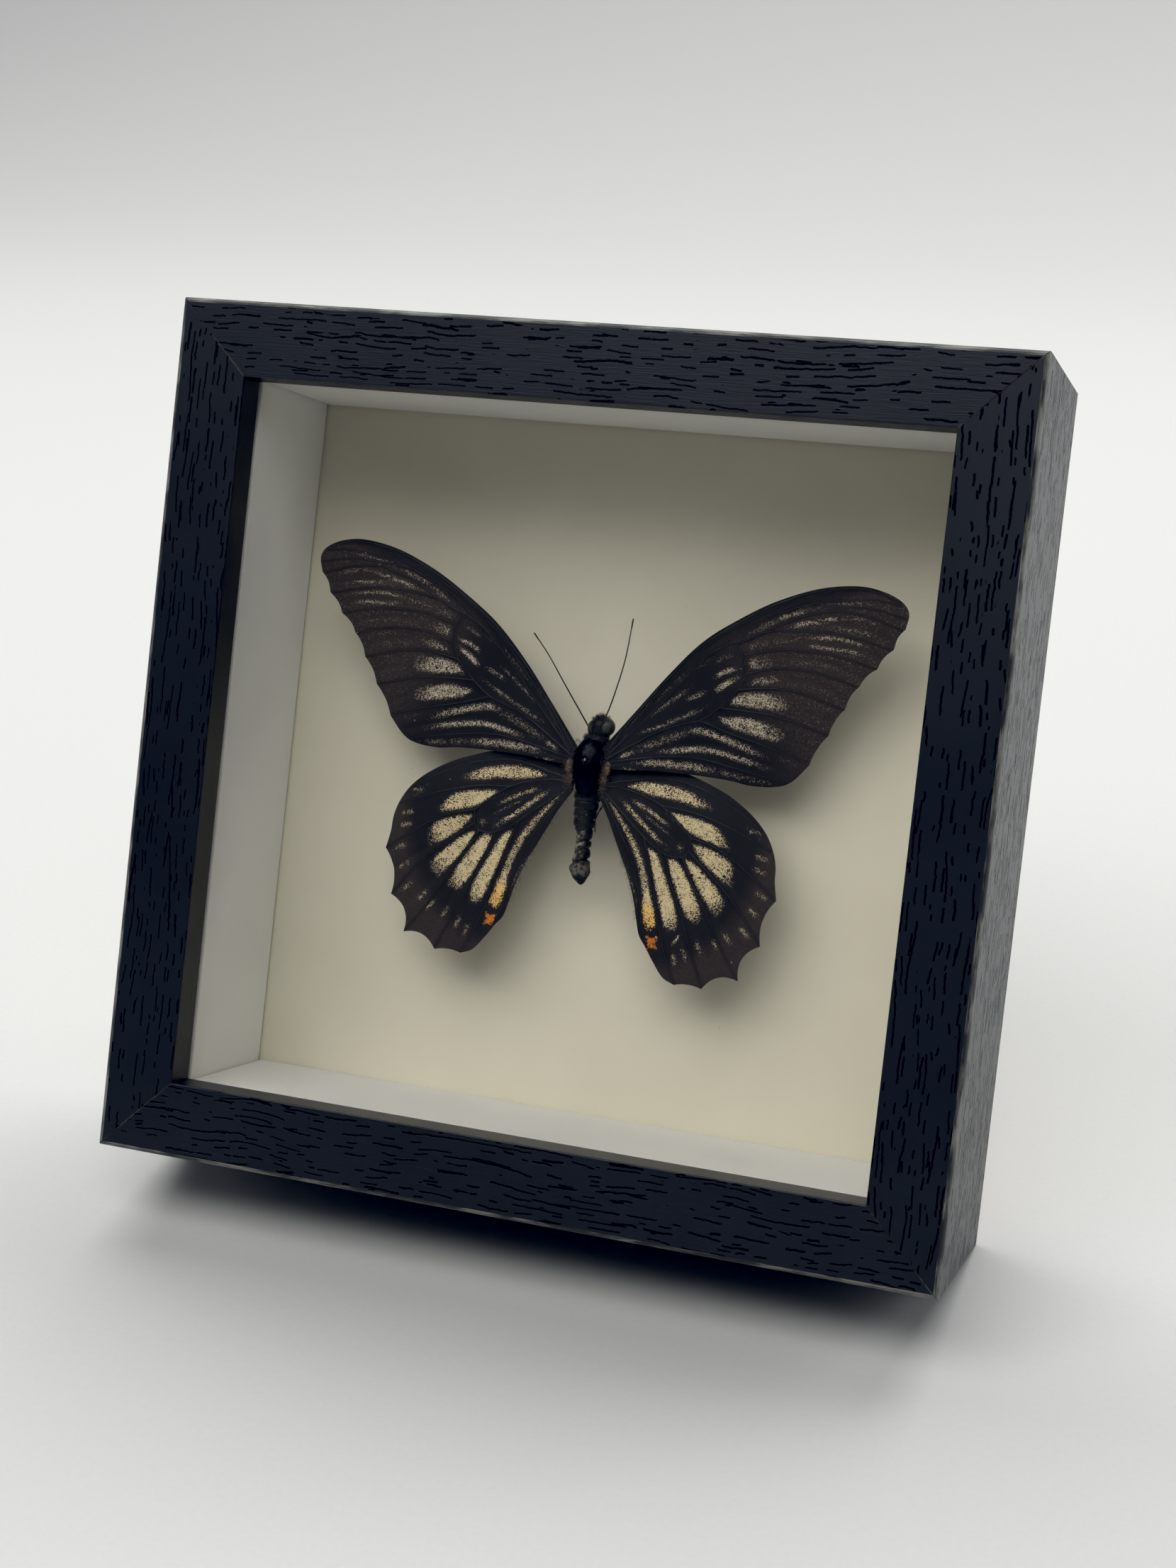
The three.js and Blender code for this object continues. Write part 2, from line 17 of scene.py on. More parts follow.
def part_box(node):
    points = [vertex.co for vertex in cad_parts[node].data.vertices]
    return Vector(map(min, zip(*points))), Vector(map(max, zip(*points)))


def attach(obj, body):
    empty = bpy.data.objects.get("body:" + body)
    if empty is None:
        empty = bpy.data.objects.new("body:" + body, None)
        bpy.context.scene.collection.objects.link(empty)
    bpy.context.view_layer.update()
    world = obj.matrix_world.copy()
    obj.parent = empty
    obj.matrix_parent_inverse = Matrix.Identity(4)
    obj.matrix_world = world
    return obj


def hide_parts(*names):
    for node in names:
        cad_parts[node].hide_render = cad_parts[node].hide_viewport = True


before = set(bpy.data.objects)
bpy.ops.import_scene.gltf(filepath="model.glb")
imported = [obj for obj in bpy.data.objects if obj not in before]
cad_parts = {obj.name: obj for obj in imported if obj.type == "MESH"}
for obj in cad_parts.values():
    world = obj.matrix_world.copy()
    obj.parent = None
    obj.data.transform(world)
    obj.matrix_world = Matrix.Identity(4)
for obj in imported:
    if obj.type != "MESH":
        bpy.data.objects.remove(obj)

log = logging.getLogger("butterfly")

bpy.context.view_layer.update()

MM = 0.001
LEAN = math.radians(20.3)
FRAME_SIDE = 150.0
FRAME_DEPTH = 44.4
FRAME_MIDDLE = FRAME_SIDE / 2
GLASS_FRONT, GLASS_BACK = 6.7, 8.7
BOARD_FRONT = 37.4
BODY_DEPTH = 26.3
PIN_HEIGHT = 2.4
CASE = "case"
EASEL = "easel"

Colour = tuple[float, float, float]
Point = tuple[float, float, float]
Flat = tuple[float, float]


def tip_back() -> Matrix:
    """Gives the transform from upright millimetres to metres in the leaning frame.

    Returns:
        The matrix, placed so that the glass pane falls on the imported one.
    """
    low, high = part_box("glass_pane")
    tilt = Matrix.Rotation(-LEAN, 4, "X")
    pane = Vector((0, (GLASS_FRONT + GLASS_BACK) / 2, FRAME_MIDDLE)) * MM
    corner = (low + high) / 2 - tilt @ pane
    return Matrix.Translation(corner) @ tilt @ Matrix.Scale(MM, 4)


STAND = tip_back()


# ---- Modelling helpers --------------------------------------------------------------------


class Pick(Enum):
    """What a selection in edit mode is made of."""

    POINTS = 0
    EDGES = 1
    FACES = 2


def put_down() -> None:
    """Leaves edit mode and deselects everything."""
    if bpy.context.mode != "OBJECT":
        bpy.ops.object.mode_set(mode="OBJECT")
    bpy.ops.object.select_all(action="DESELECT")


def take_up(piece: bpy.types.Object) -> None:
    """Makes a piece the only selected one.

    Args:
        piece: The piece to work on.
    """
    put_down()
    piece.select_set(True)
    bpy.context.view_layer.objects.active = piece


def pick(piece: bpy.types.Object, kind: Pick, test: Callable[[Vector], bool]) -> None:
    """Opens a piece in edit mode with some of its elements selected.

    Args:
        piece: The piece to work on.
        kind: Points, edges or faces.
        test: Tells from an element's middle whether it is wanted.
    """
    take_up(piece)
    mesh = piece.data
    for elements in (mesh.vertices, mesh.edges, mesh.polygons):
        elements.foreach_set("select", np.zeros(len(elements), bool))
    if kind is Pick.POINTS:
        for point in mesh.vertices:
            point.select = test(point.co)
    elif kind is Pick.EDGES:
        for edge in mesh.edges:
            a, b = (mesh.vertices[i].co for i in edge.vertices)
            edge.select = test((a + b) / 2)
    else:
        for face in mesh.polygons:
            face.select = test(face.center)
    modes = [kind is Pick.POINTS, kind is Pick.EDGES, kind is Pick.FACES]
    bpy.context.tool_settings.mesh_select_mode = modes
    bpy.ops.object.mode_set(mode="EDIT")


def near(a: float, b: float, slack: float = 0.01) -> bool:
    """Says whether two lengths are the same within a small slack."""
    return abs(a - b) < slack


def block(name: str, low: Point, high: Point) -> bpy.types.Object:
    """Adds a box between two corners.

    Args:
        name: The new piece's name.
        low: Its lowest corner.
        high: Its highest corner.

    Returns:
        The piece, with its size in its mesh.
    """
    put_down()
    middle = [(a + b) / 2 for a, b in zip(low, high)]
    bpy.ops.mesh.primitive_cube_add(size=1, location=middle)
    piece = bpy.context.object
    piece.name = name
    piece.scale = [b - a for a, b in zip(low, high)]
    bpy.ops.object.transform_apply(location=True, rotation=True, scale=True)
    return piece


def ball(name: str, centre: Point, radii: Point, around: int = 48, up: int = 32) -> bpy.types.Object:
    """Adds an ellipsoid whose poles point up and down.

    Args:
        name: The new piece's name.
        centre: Its middle.
        radii: Its half sizes.
        around: The number of segments.
        up: The number of rings.

    Returns:
        The piece, with its size in its mesh.
    """
    put_down()
    bpy.ops.mesh.primitive_uv_sphere_add(segments=around, ring_count=up, radius=1, location=centre)
    piece = bpy.context.object
    piece.name = name
    piece.scale = radii
    bpy.ops.object.transform_apply(location=True, rotation=True, scale=True)
    return piece


def apply_modifier(piece: bpy.types.Object, kind: str, **settings: object) -> None:
    """Adds a modifier to a piece and applies it.

    Args:
        piece: The piece to change.
        kind: The modifier's type.
        settings: The modifier's options.
    """
    take_up(piece)
    modifier = piece.modifiers.new(kind.title(), kind)
    for option, value in settings.items():
        setattr(modifier, option, value)
    bpy.ops.object.modifier_apply(modifier=modifier.name)


def soften(piece: bpy.types.Object, width: float, segments: int = 2, angle: float = 30) -> None:
    """Rounds a piece's sharp edges a little and shades it smooth between them.

    Args:
        piece: The piece to change.
        width: How far the rounding reaches from an edge.
        segments: The steps across it.
        angle: The least turn, in degrees, that counts as an edge.
    """
    apply_modifier(piece, "BEVEL", width=width, segments=segments, limit_method="ANGLE",
                   angle_limit=math.radians(angle), use_clamp_overlap=True)
    smooth_over(piece)


def smooth_over(piece: bpy.types.Object, angle: float = 50) -> None:
    """Shades a piece smooth across its small faces, so that its large flat ones stay flat.

    Args:
        piece: The piece to change.
        angle: The turn, in degrees, from which an edge stays sharp.
    """
    take_up(piece)
    bpy.ops.object.shade_smooth_by_angle(angle=math.radians(angle))
    apply_modifier(piece, "WEIGHTED_NORMAL", weight=80, keep_sharp=True)


def from_cad(node: str, name: str) -> bpy.types.Object:
    """Copies a CAD solid as a clean mesh, upright and in millimetres.

    Args:
        node: The CAD node's name.
        name: The new piece's name.

    Returns:
        The piece, with its points merged and its flat faces whole.
    """
    put_down()
    piece = bpy.data.objects.new(name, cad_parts[node].data.copy())
    bpy.context.scene.collection.objects.link(piece)
    piece.data.materials.clear()
    piece.data.transform(STAND.inverted())
    take_up(piece)
    bpy.ops.mesh.customdata_custom_splitnormals_clear()
    bpy.ops.object.shade_flat()
    bpy.ops.object.mode_set(mode="EDIT")
    bpy.ops.mesh.select_all(action="SELECT")
    bpy.ops.mesh.remove_doubles(threshold=0.001)
    bpy.ops.mesh.dissolve_limited(angle_limit=math.radians(1.5))
    bpy.ops.mesh.normals_make_consistent(inside=False)
    put_down()
    return piece


def face_outwards(piece: bpy.types.Object, weld: float = 0.0) -> None:
    """Turns a piece's normals outwards.

    Args:
        piece: The piece to change.
        weld: The distance within which its points are merged first, or 0 for none.
    """
    take_up(piece)
    bpy.ops.object.mode_set(mode="EDIT")
    bpy.ops.mesh.select_all(action="SELECT")
    if weld:
        bpy.ops.mesh.remove_doubles(threshold=weld)
    bpy.ops.mesh.normals_make_consistent(inside=False)
    put_down()


def merge(pieces: Sequence[bpy.types.Object], name: str) -> bpy.types.Object:
    """Joins pieces into one.

    Args:
        pieces: The pieces. The first one keeps its place, and its materials come first.
        name: The joined piece's name.

    Returns:
        The joined piece.
    """
    put_down()
    for piece in pieces:
        piece.select_set(True)
    bpy.context.view_layer.objects.active = pieces[0]
    bpy.ops.object.join()
    pieces[0].name = name
    return pieces[0]


def finish_with(piece: bpy.types.Object, *materials: bpy.types.Material) -> None:
    """Gives a piece its materials, in the order of its slots."""
    for material in materials:
        piece.data.materials.append(material)


def stand(piece: bpy.types.Object, body: str, slot: str, *nodes: str) -> bpy.types.Object:
    """Tips a finished piece back into the leaning frame, hangs it on its body and hides the CAD nodes that it
    replaces.

    Args:
        piece: A piece that is modelled upright in millimetres.
        body: The CAD body that it moves with.
        slot: The material slot's name. It is not used.
        nodes: The CAD nodes that it replaces.

    Returns:
        The same piece.
    """
    put_down()
    piece.data.transform(STAND)
    piece.data.update()
    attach(piece, body)
    if nodes:
        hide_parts(*nodes)
    log.info("%s: %d faces, on %s", piece.name, len(piece.data.polygons), body)
    return piece


# ---- Curves, tubes and hairs --------------------------------------------------------------


def smooth_line(points: Sequence[Sequence[float]], count: int) -> np.ndarray:
    """Runs an even, smooth line through a few given points.

    Args:
        points: The points, in any number of dimensions.
        count: How many points the line gets.

    Returns:
        The line's points.
    """
    p = np.array(points, float)
    if len(p) > 2:
        ends = np.vstack([2 * p[0] - p[1], p, 2 * p[-1] - p[-2]])
        t = np.linspace(0, 1, 9)[:-1, None]
        runs = []
        for a, b, c, d in zip(ends[:-3], ends[1:-2], ends[2:-1], ends[3:]):
            runs.append(0.5 * (2 * b + (c - a) * t + (2 * a - 5 * b + 4 * c - d) * t ** 2
                               + (3 * b - a - 3 * c + d) * t ** 3))
        p = np.vstack(runs + [p[-1:]])
    reach = np.concatenate([[0], np.cumsum(np.linalg.norm(np.diff(p, axis=0), axis=1))])
    places = np.linspace(0, reach[-1], count)
    return np.stack([np.interp(places, reach, column) for column in p.T], axis=1)


def nearest(points: np.ndarray, line: np.ndarray) -> tuple[np.ndarray, np.ndarray]:
    """Measures how far points in the plane are from a line.

    Args:
        points: The points, as rows of two numbers.
        line: The line's points, as rows of two numbers.

    Returns:
        Each point's distance, and the share of the line's length at its nearest place.
    """
    best = np.full(len(points), 1e9)
    share = np.zeros(len(points))
    steps = len(line) - 1
    for index, (a, b) in enumerate(zip(line[:-1], line[1:])):
        run = b - a
        t = np.clip(((points - a) @ run) / max(run @ run, 1e-9), 0, 1)
        gap = np.linalg.norm(points - a - t[:, None] * run, axis=1)
        closer = gap < best
        best[closer] = gap[closer]
        share[closer] = ((index + t) / steps)[closer]
    return best, share


def depth_inside(points: np.ndarray, corners: Sequence[Flat]) -> np.ndarray:
    """Measures how deep points lie inside a smooth closed shape, negative outside it.

    Args:
        points: The points, as rows of two numbers.
        corners: The shape's corners, which its outline runs through.

    Returns:
        The depth of each point.
    """
    closed = np.array(list(corners) + [corners[0]], float)
    outline = smooth_line(closed, 12 * len(closed))
    gap, _ = nearest(points, outline)
    x, y = points.T
    inside = np.zeros(len(points), bool)
    for (ax, ay), (bx, by) in zip(outline[:-1], outline[1:]):
        if ay == by:
            continue
        crosses = (ay > y) != (by > y)
        inside ^= crosses & (x < (bx - ax) * (y - ay) / (by - ay) + ax)
    return np.where(inside, gap, -gap)


def ease(value: np.ndarray, low: float, high: float) -> np.ndarray:
    """Rises smoothly from 0 at one value to 1 at another."""
    t = np.clip((value - low) / (high - low), 0, 1)
    return t * t * (3 - 2 * t)


def tubes(name: str, paths: Sequence[np.ndarray], radii: Sequence[np.ndarray],
          roundness: int = 1) -> bpy.types.Object:
    """Draws round tubes along paths and turns them into one mesh.

    Args:
        name: The new piece's name.
        paths: Each tube's middle line.
        radii: Each tube's radius at the points of its line.
        roundness: The curve's bevel resolution.

    Returns:
        The piece, with closed ends.
    """
    put_down()
    bpy.ops.curve.primitive_nurbs_path_add(location=(0, 0, 0))
    piece = bpy.context.object
    piece.name = name
    curve = piece.data
    curve.splines.clear()
    for path, radius in zip(paths, radii):
        spline = curve.splines.new("POLY")
        spline.points.add(len(path) - 1)
        rows = np.concatenate([path, np.ones((len(path), 1))], axis=1)
        spline.points.foreach_set("co", rows.ravel())
        spline.points.foreach_set("radius", np.asarray(radius, float))
    curve.dimensions = "3D"
    curve.bevel_depth = 1
    curve.bevel_resolution = roundness
    curve.use_fill_caps = True
    bpy.ops.object.convert(target="MESH")
    face_outwards(piece, 0.0005)
    take_up(piece)
    bpy.ops.object.shade_smooth_by_angle(angle=math.radians(60))
    return piece


def hairs(name: str, roots: np.ndarray, runs: np.ndarray, radius: float, sag: float,
          seed: int) -> bpy.types.Object:
    """Makes many fine tapered hairs as one mesh.

    Args:
        name: The new piece's name.
        roots: Where the hairs grow, as rows.
        runs: Each hair's direction times its length.
        radius: The radius at the root.
        sag: How far the tips bend aside, as a share of the length.
        seed: The start of the random draw.

    Returns:
        The piece.
    """
    rng = np.random.default_rng(seed)
    count = len(roots)
    length = np.linalg.norm(runs, axis=1, keepdims=True)
    along = runs / length
    side = np.cross(along, rng.normal(size=(count, 3)))
    side /= np.linalg.norm(side, axis=1, keepdims=True)
    other = np.cross(along, side)
    rings = []
    for step, width in ((0, 1.0), (0.35, 0.85), (0.7, 0.55), (1, 0.12)):
        middle = roots + runs * step + side * (sag * length * step ** 2)
        for turn in range(3):
            angle = 2 * math.pi * turn / 3
            offset = side * math.cos(angle) + other * math.sin(angle)
            rings.append(middle + offset * (radius * width))
    points = np.stack(rings, axis=1).reshape(-1, 3)
    pattern = [(2, 1, 0), (9, 10, 11)]
    for ring in range(3):
        for turn in range(3):
            a, b = 3 * ring + turn, 3 * ring + (turn + 1) % 3
            pattern.append((a, b, b + 3, a + 3))
    faces = [tuple(12 * index + i for i in face) for index in range(count) for face in pattern]
    mesh = bpy.data.meshes.new(name)
    mesh.from_pydata(points.tolist(), [], faces)
    piece = bpy.data.objects.new(name, mesh)
    bpy.context.scene.collection.objects.link(piece)
    face_outwards(piece)
    return piece


# ---- Finishes -----------------------------------------------------------------------------

# What a socket takes: another node's output, a colour or a number.
Feed = object


class Recipe:
    """A material's nodes, added one at a time around its main shader."""

    def __init__(self, name: str) -> None:
        """Starts a material with a plain shader.

        Args:
            name: The material's name.
        """
        self.material = bpy.data.materials.new(name)
        self.material.use_nodes = True
        self.tree = self.material.node_tree
        self.shader = self.tree.nodes["Principled BSDF"]

    def feed(self, socket: bpy.types.NodeSocket, value: Feed) -> None:
        """Links a socket to another one, or sets its value.

        Args:
            socket: The socket to feed.
            value: Another node's output, a colour or a number.
        """
        if isinstance(value, bpy.types.NodeSocket):
            self.tree.links.new(value, socket)
        elif isinstance(value, tuple) and len(value) == 3 and socket.type == "RGBA":
            socket.default_value = (*value, 1)
        else:
            socket.default_value = value

    def add(self, kind: str, inputs: dict, **options: object) -> bpy.types.Node:
        """Adds a node.

        Args:
            kind: The node's type, after ShaderNode.
            inputs: What feeds each socket, by name or number.
            options: The node's own settings.

        Returns:
            The node.
        """
        node = self.tree.nodes.new("ShaderNode" + kind)
        for option, value in options.items():
            setattr(node, option, value)
        for socket, value in inputs.items():
            self.feed(node.inputs[socket], value)
        return node

    def upright(self) -> bpy.types.NodeSocket:
        """Gives object coordinates in millimetres, turned square to the frame.

        Returns:
            The coordinates.
        """
        place = self.add("TexCoord", {}).outputs["Object"]
        turned = {"Vector": place, "Scale": (1 / MM,) * 3, "Rotation": (LEAN, 0, 0)}
        return self.add("Mapping", turned).outputs["Vector"]

    def stretch(self, place: Feed, scale: Point, shift: Point = (0, 0, 0)) -> bpy.types.NodeSocket:
        """Scales coordinates by different amounts along each axis."""
        return self.add("Mapping", {"Vector": place, "Scale": scale, "Location": shift}).outputs["Vector"]

    def noise(self, place: Feed, scale: float, detail: float = 2, roughness: float = 0.5,
              distortion: float = 0, output: str = "Fac") -> bpy.types.NodeSocket:
        """Adds cloudy noise, with its scale in features per millimetre.

        Args:
            place: The coordinates.
            scale: Features per millimetre.
            detail: How many finer layers it has.
            roughness: How strong those are.
            distortion: How far it swirls.
            output: The output's name.

        Returns:
            The noise.
        """
        fed = {"Vector": place, "Scale": scale, "Detail": detail, "Roughness": roughness,
               "Distortion": distortion}
        return self.add("TexNoise", fed).outputs[output]

    def sharpen(self, value: Feed, low: float, high: float, bottom: float = 0,
                top: float = 1) -> bpy.types.NodeSocket:
        """Turns a range of values into a smooth step between two levels."""
        fed = {"Value": value, "From Min": low, "From Max": high, "To Min": bottom, "To Max": top}
        return self.add("MapRange", fed, interpolation_type="SMOOTHSTEP").outputs["Result"]

    def maths(self, operation: str, a: Feed, b: Feed = 0.0) -> bpy.types.NodeSocket:
        """Adds a sum, product or other operation on two values."""
        return self.add("Math", {0: a, 1: b}, operation=operation).outputs[0]

    def blend(self, share: Feed, first: Feed, second: Feed) -> bpy.types.NodeSocket:
        """Mixes two colours."""
        return self.add("Mix", {0: share, 6: first, 7: second}, data_type="RGBA").outputs[2]

    def bump(self, height: Feed, distance: float, under: Feed = None) -> bpy.types.NodeSocket:
        """Adds relief, with its distance in millimetres.

        Args:
            height: The relief, from 0 to 1.
            distance: Its depth in millimetres.
            under: Another relief that lies under it.

        Returns:
            The normal.
        """
        fed = {"Height": height, "Distance": distance * MM, "Strength": 1.0}
        if under is not None:
            fed["Normal"] = under
        return self.add("Bump", fed).outputs["Normal"]

    def shade(self, **sockets: Feed) -> bpy.types.Material:
        """Feeds the main shader's sockets, by name with underscores for spaces.

        Returns:
            The finished material.
        """
        for socket, value in sockets.items():
            self.feed(self.shader.inputs[socket.replace("_", " ")], value)
        return self.material


class Grain(Enum):
    """The way that the grain runs along a rail, as the axis number that it follows."""

    LEVEL = 0
    UPRIGHT = 2


@dataclass(frozen=True)
class Strokes:
    """One layer of short wavering pores, laid in loose rows along the grain."""

    pitch: float
    run: float
    gap: float
    width: float
    seed: float


@dataclass(frozen=True)
class WoodgrainFoil:
    """Dark satin foil with short embossed pores that run along the rail."""

    grain: Grain
    face: Colour = (0.0030, 0.0062, 0.0135)
    cloud: Colour = (0.0055, 0.0088, 0.0165)
    pore: Colour = (0.0010, 0.0015, 0.0034)
    roughness: float = 0.40
    layers: tuple[Strokes, ...] = (
        Strokes(1.15, 0.21, 0.50, 0.145, 3.0),
        Strokes(1.7, 0.17, 0.55, 0.175, 41.0),
    )

    def along_and_across(self, recipe: Recipe) -> tuple[bpy.types.NodeSocket, bpy.types.NodeSocket]:
        """Splits places on the rail into a distance along the grain and one round the section.

        Args:
            recipe: The material that is being made.

        Returns:
            The two distances.
        """
        x, y, z = recipe.add("SeparateXYZ", {0: recipe.upright()}).outputs
        if self.grain is Grain.LEVEL:
            return x, recipe.maths("ADD", y, z)
        return z, recipe.maths("ADD", y, x)

    def pores(self, recipe: Recipe, layer: Strokes) -> bpy.types.NodeSocket:
        """Draws one layer of pores.

        Args:
            recipe: The material that is being made.
            layer: The layer's sizes.

        Returns:
            The pores' mask, from 0 to 1.
        """
        along, across = self.along_and_across(recipe)
        flat = recipe.add("CombineXYZ", {0: along, 1: across, 2: layer.seed}).outputs[0]
        drift = recipe.noise(recipe.stretch(flat, (0.05, 0.09, 1)), 1.0, 1)
        kink = recipe.noise(recipe.stretch(flat, (0.55, 0.22, 1)), 1.0, 2, 0.6)
        sway = recipe.maths("ADD", recipe.maths("MULTIPLY", drift, 4.0), recipe.maths("MULTIPLY", kink, 0.55))
        lane = recipe.maths("DIVIDE", recipe.maths("ADD", across, sway), layer.pitch)
        row = recipe.maths("FLOOR", lane)
        seeded = recipe.maths("ADD", row, layer.seed)
        jitter = recipe.add("TexWhiteNoise", {"W": seeded}, noise_dimensions="1D").outputs["Value"]
        aside = recipe.maths("MULTIPLY", recipe.maths("SUBTRACT", jitter, 0.5), 0.5)
        in_row = recipe.maths("SUBTRACT", lane, row)
        offset = recipe.maths("SUBTRACT", in_row, recipe.maths("ADD", aside, 0.5))
        ragged = recipe.noise(recipe.stretch(flat, (2.2, 5.0, 1)), 1.0, 2, 0.6)
        fray = recipe.maths("MULTIPLY", recipe.maths("SUBTRACT", ragged, 0.5), 0.17)
        distance = recipe.maths("MULTIPLY", recipe.maths("ABSOLUTE", offset), layer.pitch)
        distance = recipe.maths("ADD", distance, fray)
        spot = recipe.add("CombineXYZ", {0: recipe.maths("MULTIPLY", along, layer.run),
                                         1: recipe.maths("MULTIPLY", seeded, 7.31), 2: 0.0}).outputs[0]
        ink = recipe.noise(spot, 1.0, 1, 0.55)
        reach = recipe.sharpen(ink, layer.gap, layer.gap + 0.03, -0.1, layer.width)
        return recipe.sharpen(recipe.maths("SUBTRACT", reach, distance), -0.05, 0.05)

    def material(self) -> bpy.types.Material:
        """Builds the foil.

        Returns:
            The material.
        """
        recipe = Recipe(f"foil_{self.grain.name.lower()}")
        place = recipe.upright()
        stretch = tuple(0.04 if axis == self.grain.value else 1.0 for axis in range(3))
        fibres = recipe.noise(recipe.stretch(place, stretch), 5, 3, 0.6)
        face = recipe.blend(recipe.sharpen(recipe.noise(place, 0.05, 2), 0.35, 0.65), self.face, self.cloud)
        if not self.layers:
            return recipe.shade(Base_Color=face, Roughness=self.roughness, Specular_IOR_Level=0.4,
                                Normal=recipe.bump(fibres, 0.05))
        first, second = (self.pores(recipe, layer) for layer in self.layers)
        pores = recipe.maths("MAXIMUM", first, second)
        colour = recipe.blend(pores, face, self.pore)
        sunk = recipe.maths("SUBTRACT", recipe.maths("MULTIPLY", fibres, 0.22), pores)
        gloss = recipe.sharpen(pores, 0, 1, self.roughness, 0.7)
        shine = recipe.sharpen(pores, 0, 1, 0.5, 0.18)
        return recipe.shade(Base_Color=colour, Roughness=gloss, Specular_IOR_Level=shine,
                            Normal=recipe.bump(sunk, 0.11))


@dataclass(frozen=True)
class ScuffedAndHighlitEdge:
    """Foil painted paler where it folds over an edge or meets a mitre: partly rubbed wear, partly a painted
    highlight where those edges catch the light.
    """

    grain: Grain
    dark: Colour = (0.011, 0.013, 0.015)
    worn_and_lit: Colour = (0.19, 0.19, 0.165)

    def material(self) -> bpy.types.Material:
        """Builds the rubbed foil, whose paleness is partly a painted highlight.

        Returns:
            The material.
        """
        recipe = Recipe(f"scuffed_edge_{self.grain.name.lower()}")
        place = recipe.upright()
        stretch = tuple(0.10 if axis == self.grain.value else 1.0 for axis in range(3))
        long_run = recipe.noise(recipe.stretch(place, stretch), 2.4, 4, 0.65)
        patchy = recipe.noise(place, 0.11, 2)
        # Pale streaks of rubbed foil: partly wear, partly a painted edge highlight.
        wear_and_highlight = recipe.sharpen(recipe.maths("MULTIPLY", long_run, patchy), 0.17, 0.36)
        colour = recipe.blend(wear_and_highlight, self.dark, self.worn_and_lit)
        return recipe.shade(Base_Color=colour, Roughness=0.5, Normal=recipe.bump(long_run, 0.05))


@dataclass(frozen=True)
class Fibreboard:
    """Raw pressed fibreboard, with short random fibres."""

    name: str
    pale: Colour = (0.30, 0.19, 0.105)
    dark: Colour = (0.17, 0.10, 0.052)
    roughness: float = 0.85

    def material(self) -> bpy.types.Material:
        """Builds the board.

        Returns:
            The material.
        """
        recipe = Recipe(self.name)
        place = recipe.upright()
        one_way = recipe.noise(recipe.stretch(place, (0.35, 1, 1.4)), 2.6, 4, 0.7)
        other_way = recipe.noise(recipe.stretch(place, (1.4, 1, 0.35), (9, 4, 2)), 2.6, 4, 0.7)
        fibres = recipe.maths("MAXIMUM", one_way, other_way)
        shade = recipe.sharpen(fibres, 0.42, 0.74)
        colour = recipe.blend(shade, self.dark, self.pale)
        return recipe.shade(Base_Color=colour, Roughness=self.roughness, Normal=recipe.bump(fibres, 0.12))


@dataclass(frozen=True)
class Paper:
    """Matt paper or card with faint mottling and a few stray specks."""

    name: str
    sheet: Colour
    mottle: Colour
    speck: Colour = (0.3, 0.3, 0.28)
    specks: float = 0.0
    roughness: float = 0.85

    def material(self) -> bpy.types.Material:
        """Builds the paper.

        Returns:
            The material.
        """
        recipe = Recipe(self.name)
        place = recipe.upright()
        wide = recipe.noise(place, 0.035, 3, 0.55)
        tooth = recipe.noise(place, 3.2, 4, 0.6)
        blotch = recipe.sharpen(wide, 0.3, 0.7)
        colour = recipe.blend(blotch, self.sheet, self.mottle)
        if self.specks:
            cells = recipe.add("TexVoronoi", {"Vector": place, "Scale": 0.16, "Randomness": 1.0})
            ragged = recipe.maths("ADD", cells.outputs["Distance"], recipe.maths("MULTIPLY", tooth, 0.02))
            marks = recipe.sharpen(ragged, 0.018 + self.specks, 0.03 + self.specks, 1, 0)
            colour = recipe.blend(recipe.maths("MULTIPLY", marks, 0.7), colour, self.speck)
        return recipe.shade(Base_Color=colour, Roughness=self.roughness, Normal=recipe.bump(tooth, 0.02))


@dataclass(frozen=True)
class Metal:
    """Rolled or drawn sheet metal with faint scratches."""

    name: str
    colour: Colour
    stain: Colour
    roughness: float = 0.32

    def material(self) -> bpy.types.Material:
        """Builds the metal.

        Returns:
            The material.
        """
        recipe = Recipe(self.name)
        place = recipe.upright()
        scratches = recipe.noise(recipe.stretch(place, (0.08, 1, 1.2)), 5, 3, 0.6)
        cloud = recipe.noise(place, 0.5, 3)
        colour = recipe.blend(recipe.sharpen(cloud, 0.35, 0.75), self.colour, self.stain)
        gloss = recipe.sharpen(scratches, 0.2, 0.8, self.roughness - 0.08, self.roughness + 0.12)
        relief = recipe.bump(scratches, 0.01)
        return recipe.shade(Base_Color=colour, Metallic=1.0, Roughness=gloss, Normal=relief)


@dataclass(frozen=True)
class LegCloth:
    """Black flocked paper that covers the easel leg."""

    fleece: Colour = (0.012, 0.012, 0.013)
    lint: Colour = (0.045, 0.044, 0.042)

    def material(self) -> bpy.types.Material:
        """Builds the flocked paper.

        Returns:
            The material.
        """
        recipe = Recipe("leg_flock")
        place = recipe.upright()
        nap = recipe.noise(place, 4.5, 4, 0.7)
        brushed = recipe.noise(place, 0.12, 3)
        share = recipe.maths("MULTIPLY", recipe.sharpen(nap, 0.45, 0.8), brushed)
        colour = recipe.blend(share, self.fleece, self.lint)
        return recipe.shade(Base_Color=colour, Roughness=0.95, Sheen_Weight=0.25, Sheen_Roughness=0.5,
                            Normal=recipe.bump(nap, 0.08))


@dataclass(frozen=True)
class Glazing:
    """Clear picture glass."""

    def material(self) -> bpy.types.Material:
        """Builds the glass."""
        recipe = Recipe("picture_glass")
        return recipe.shade(Base_Color=(1, 1, 1), Roughness=0.0, IOR=1.45, Transmission_Weight=1.0)


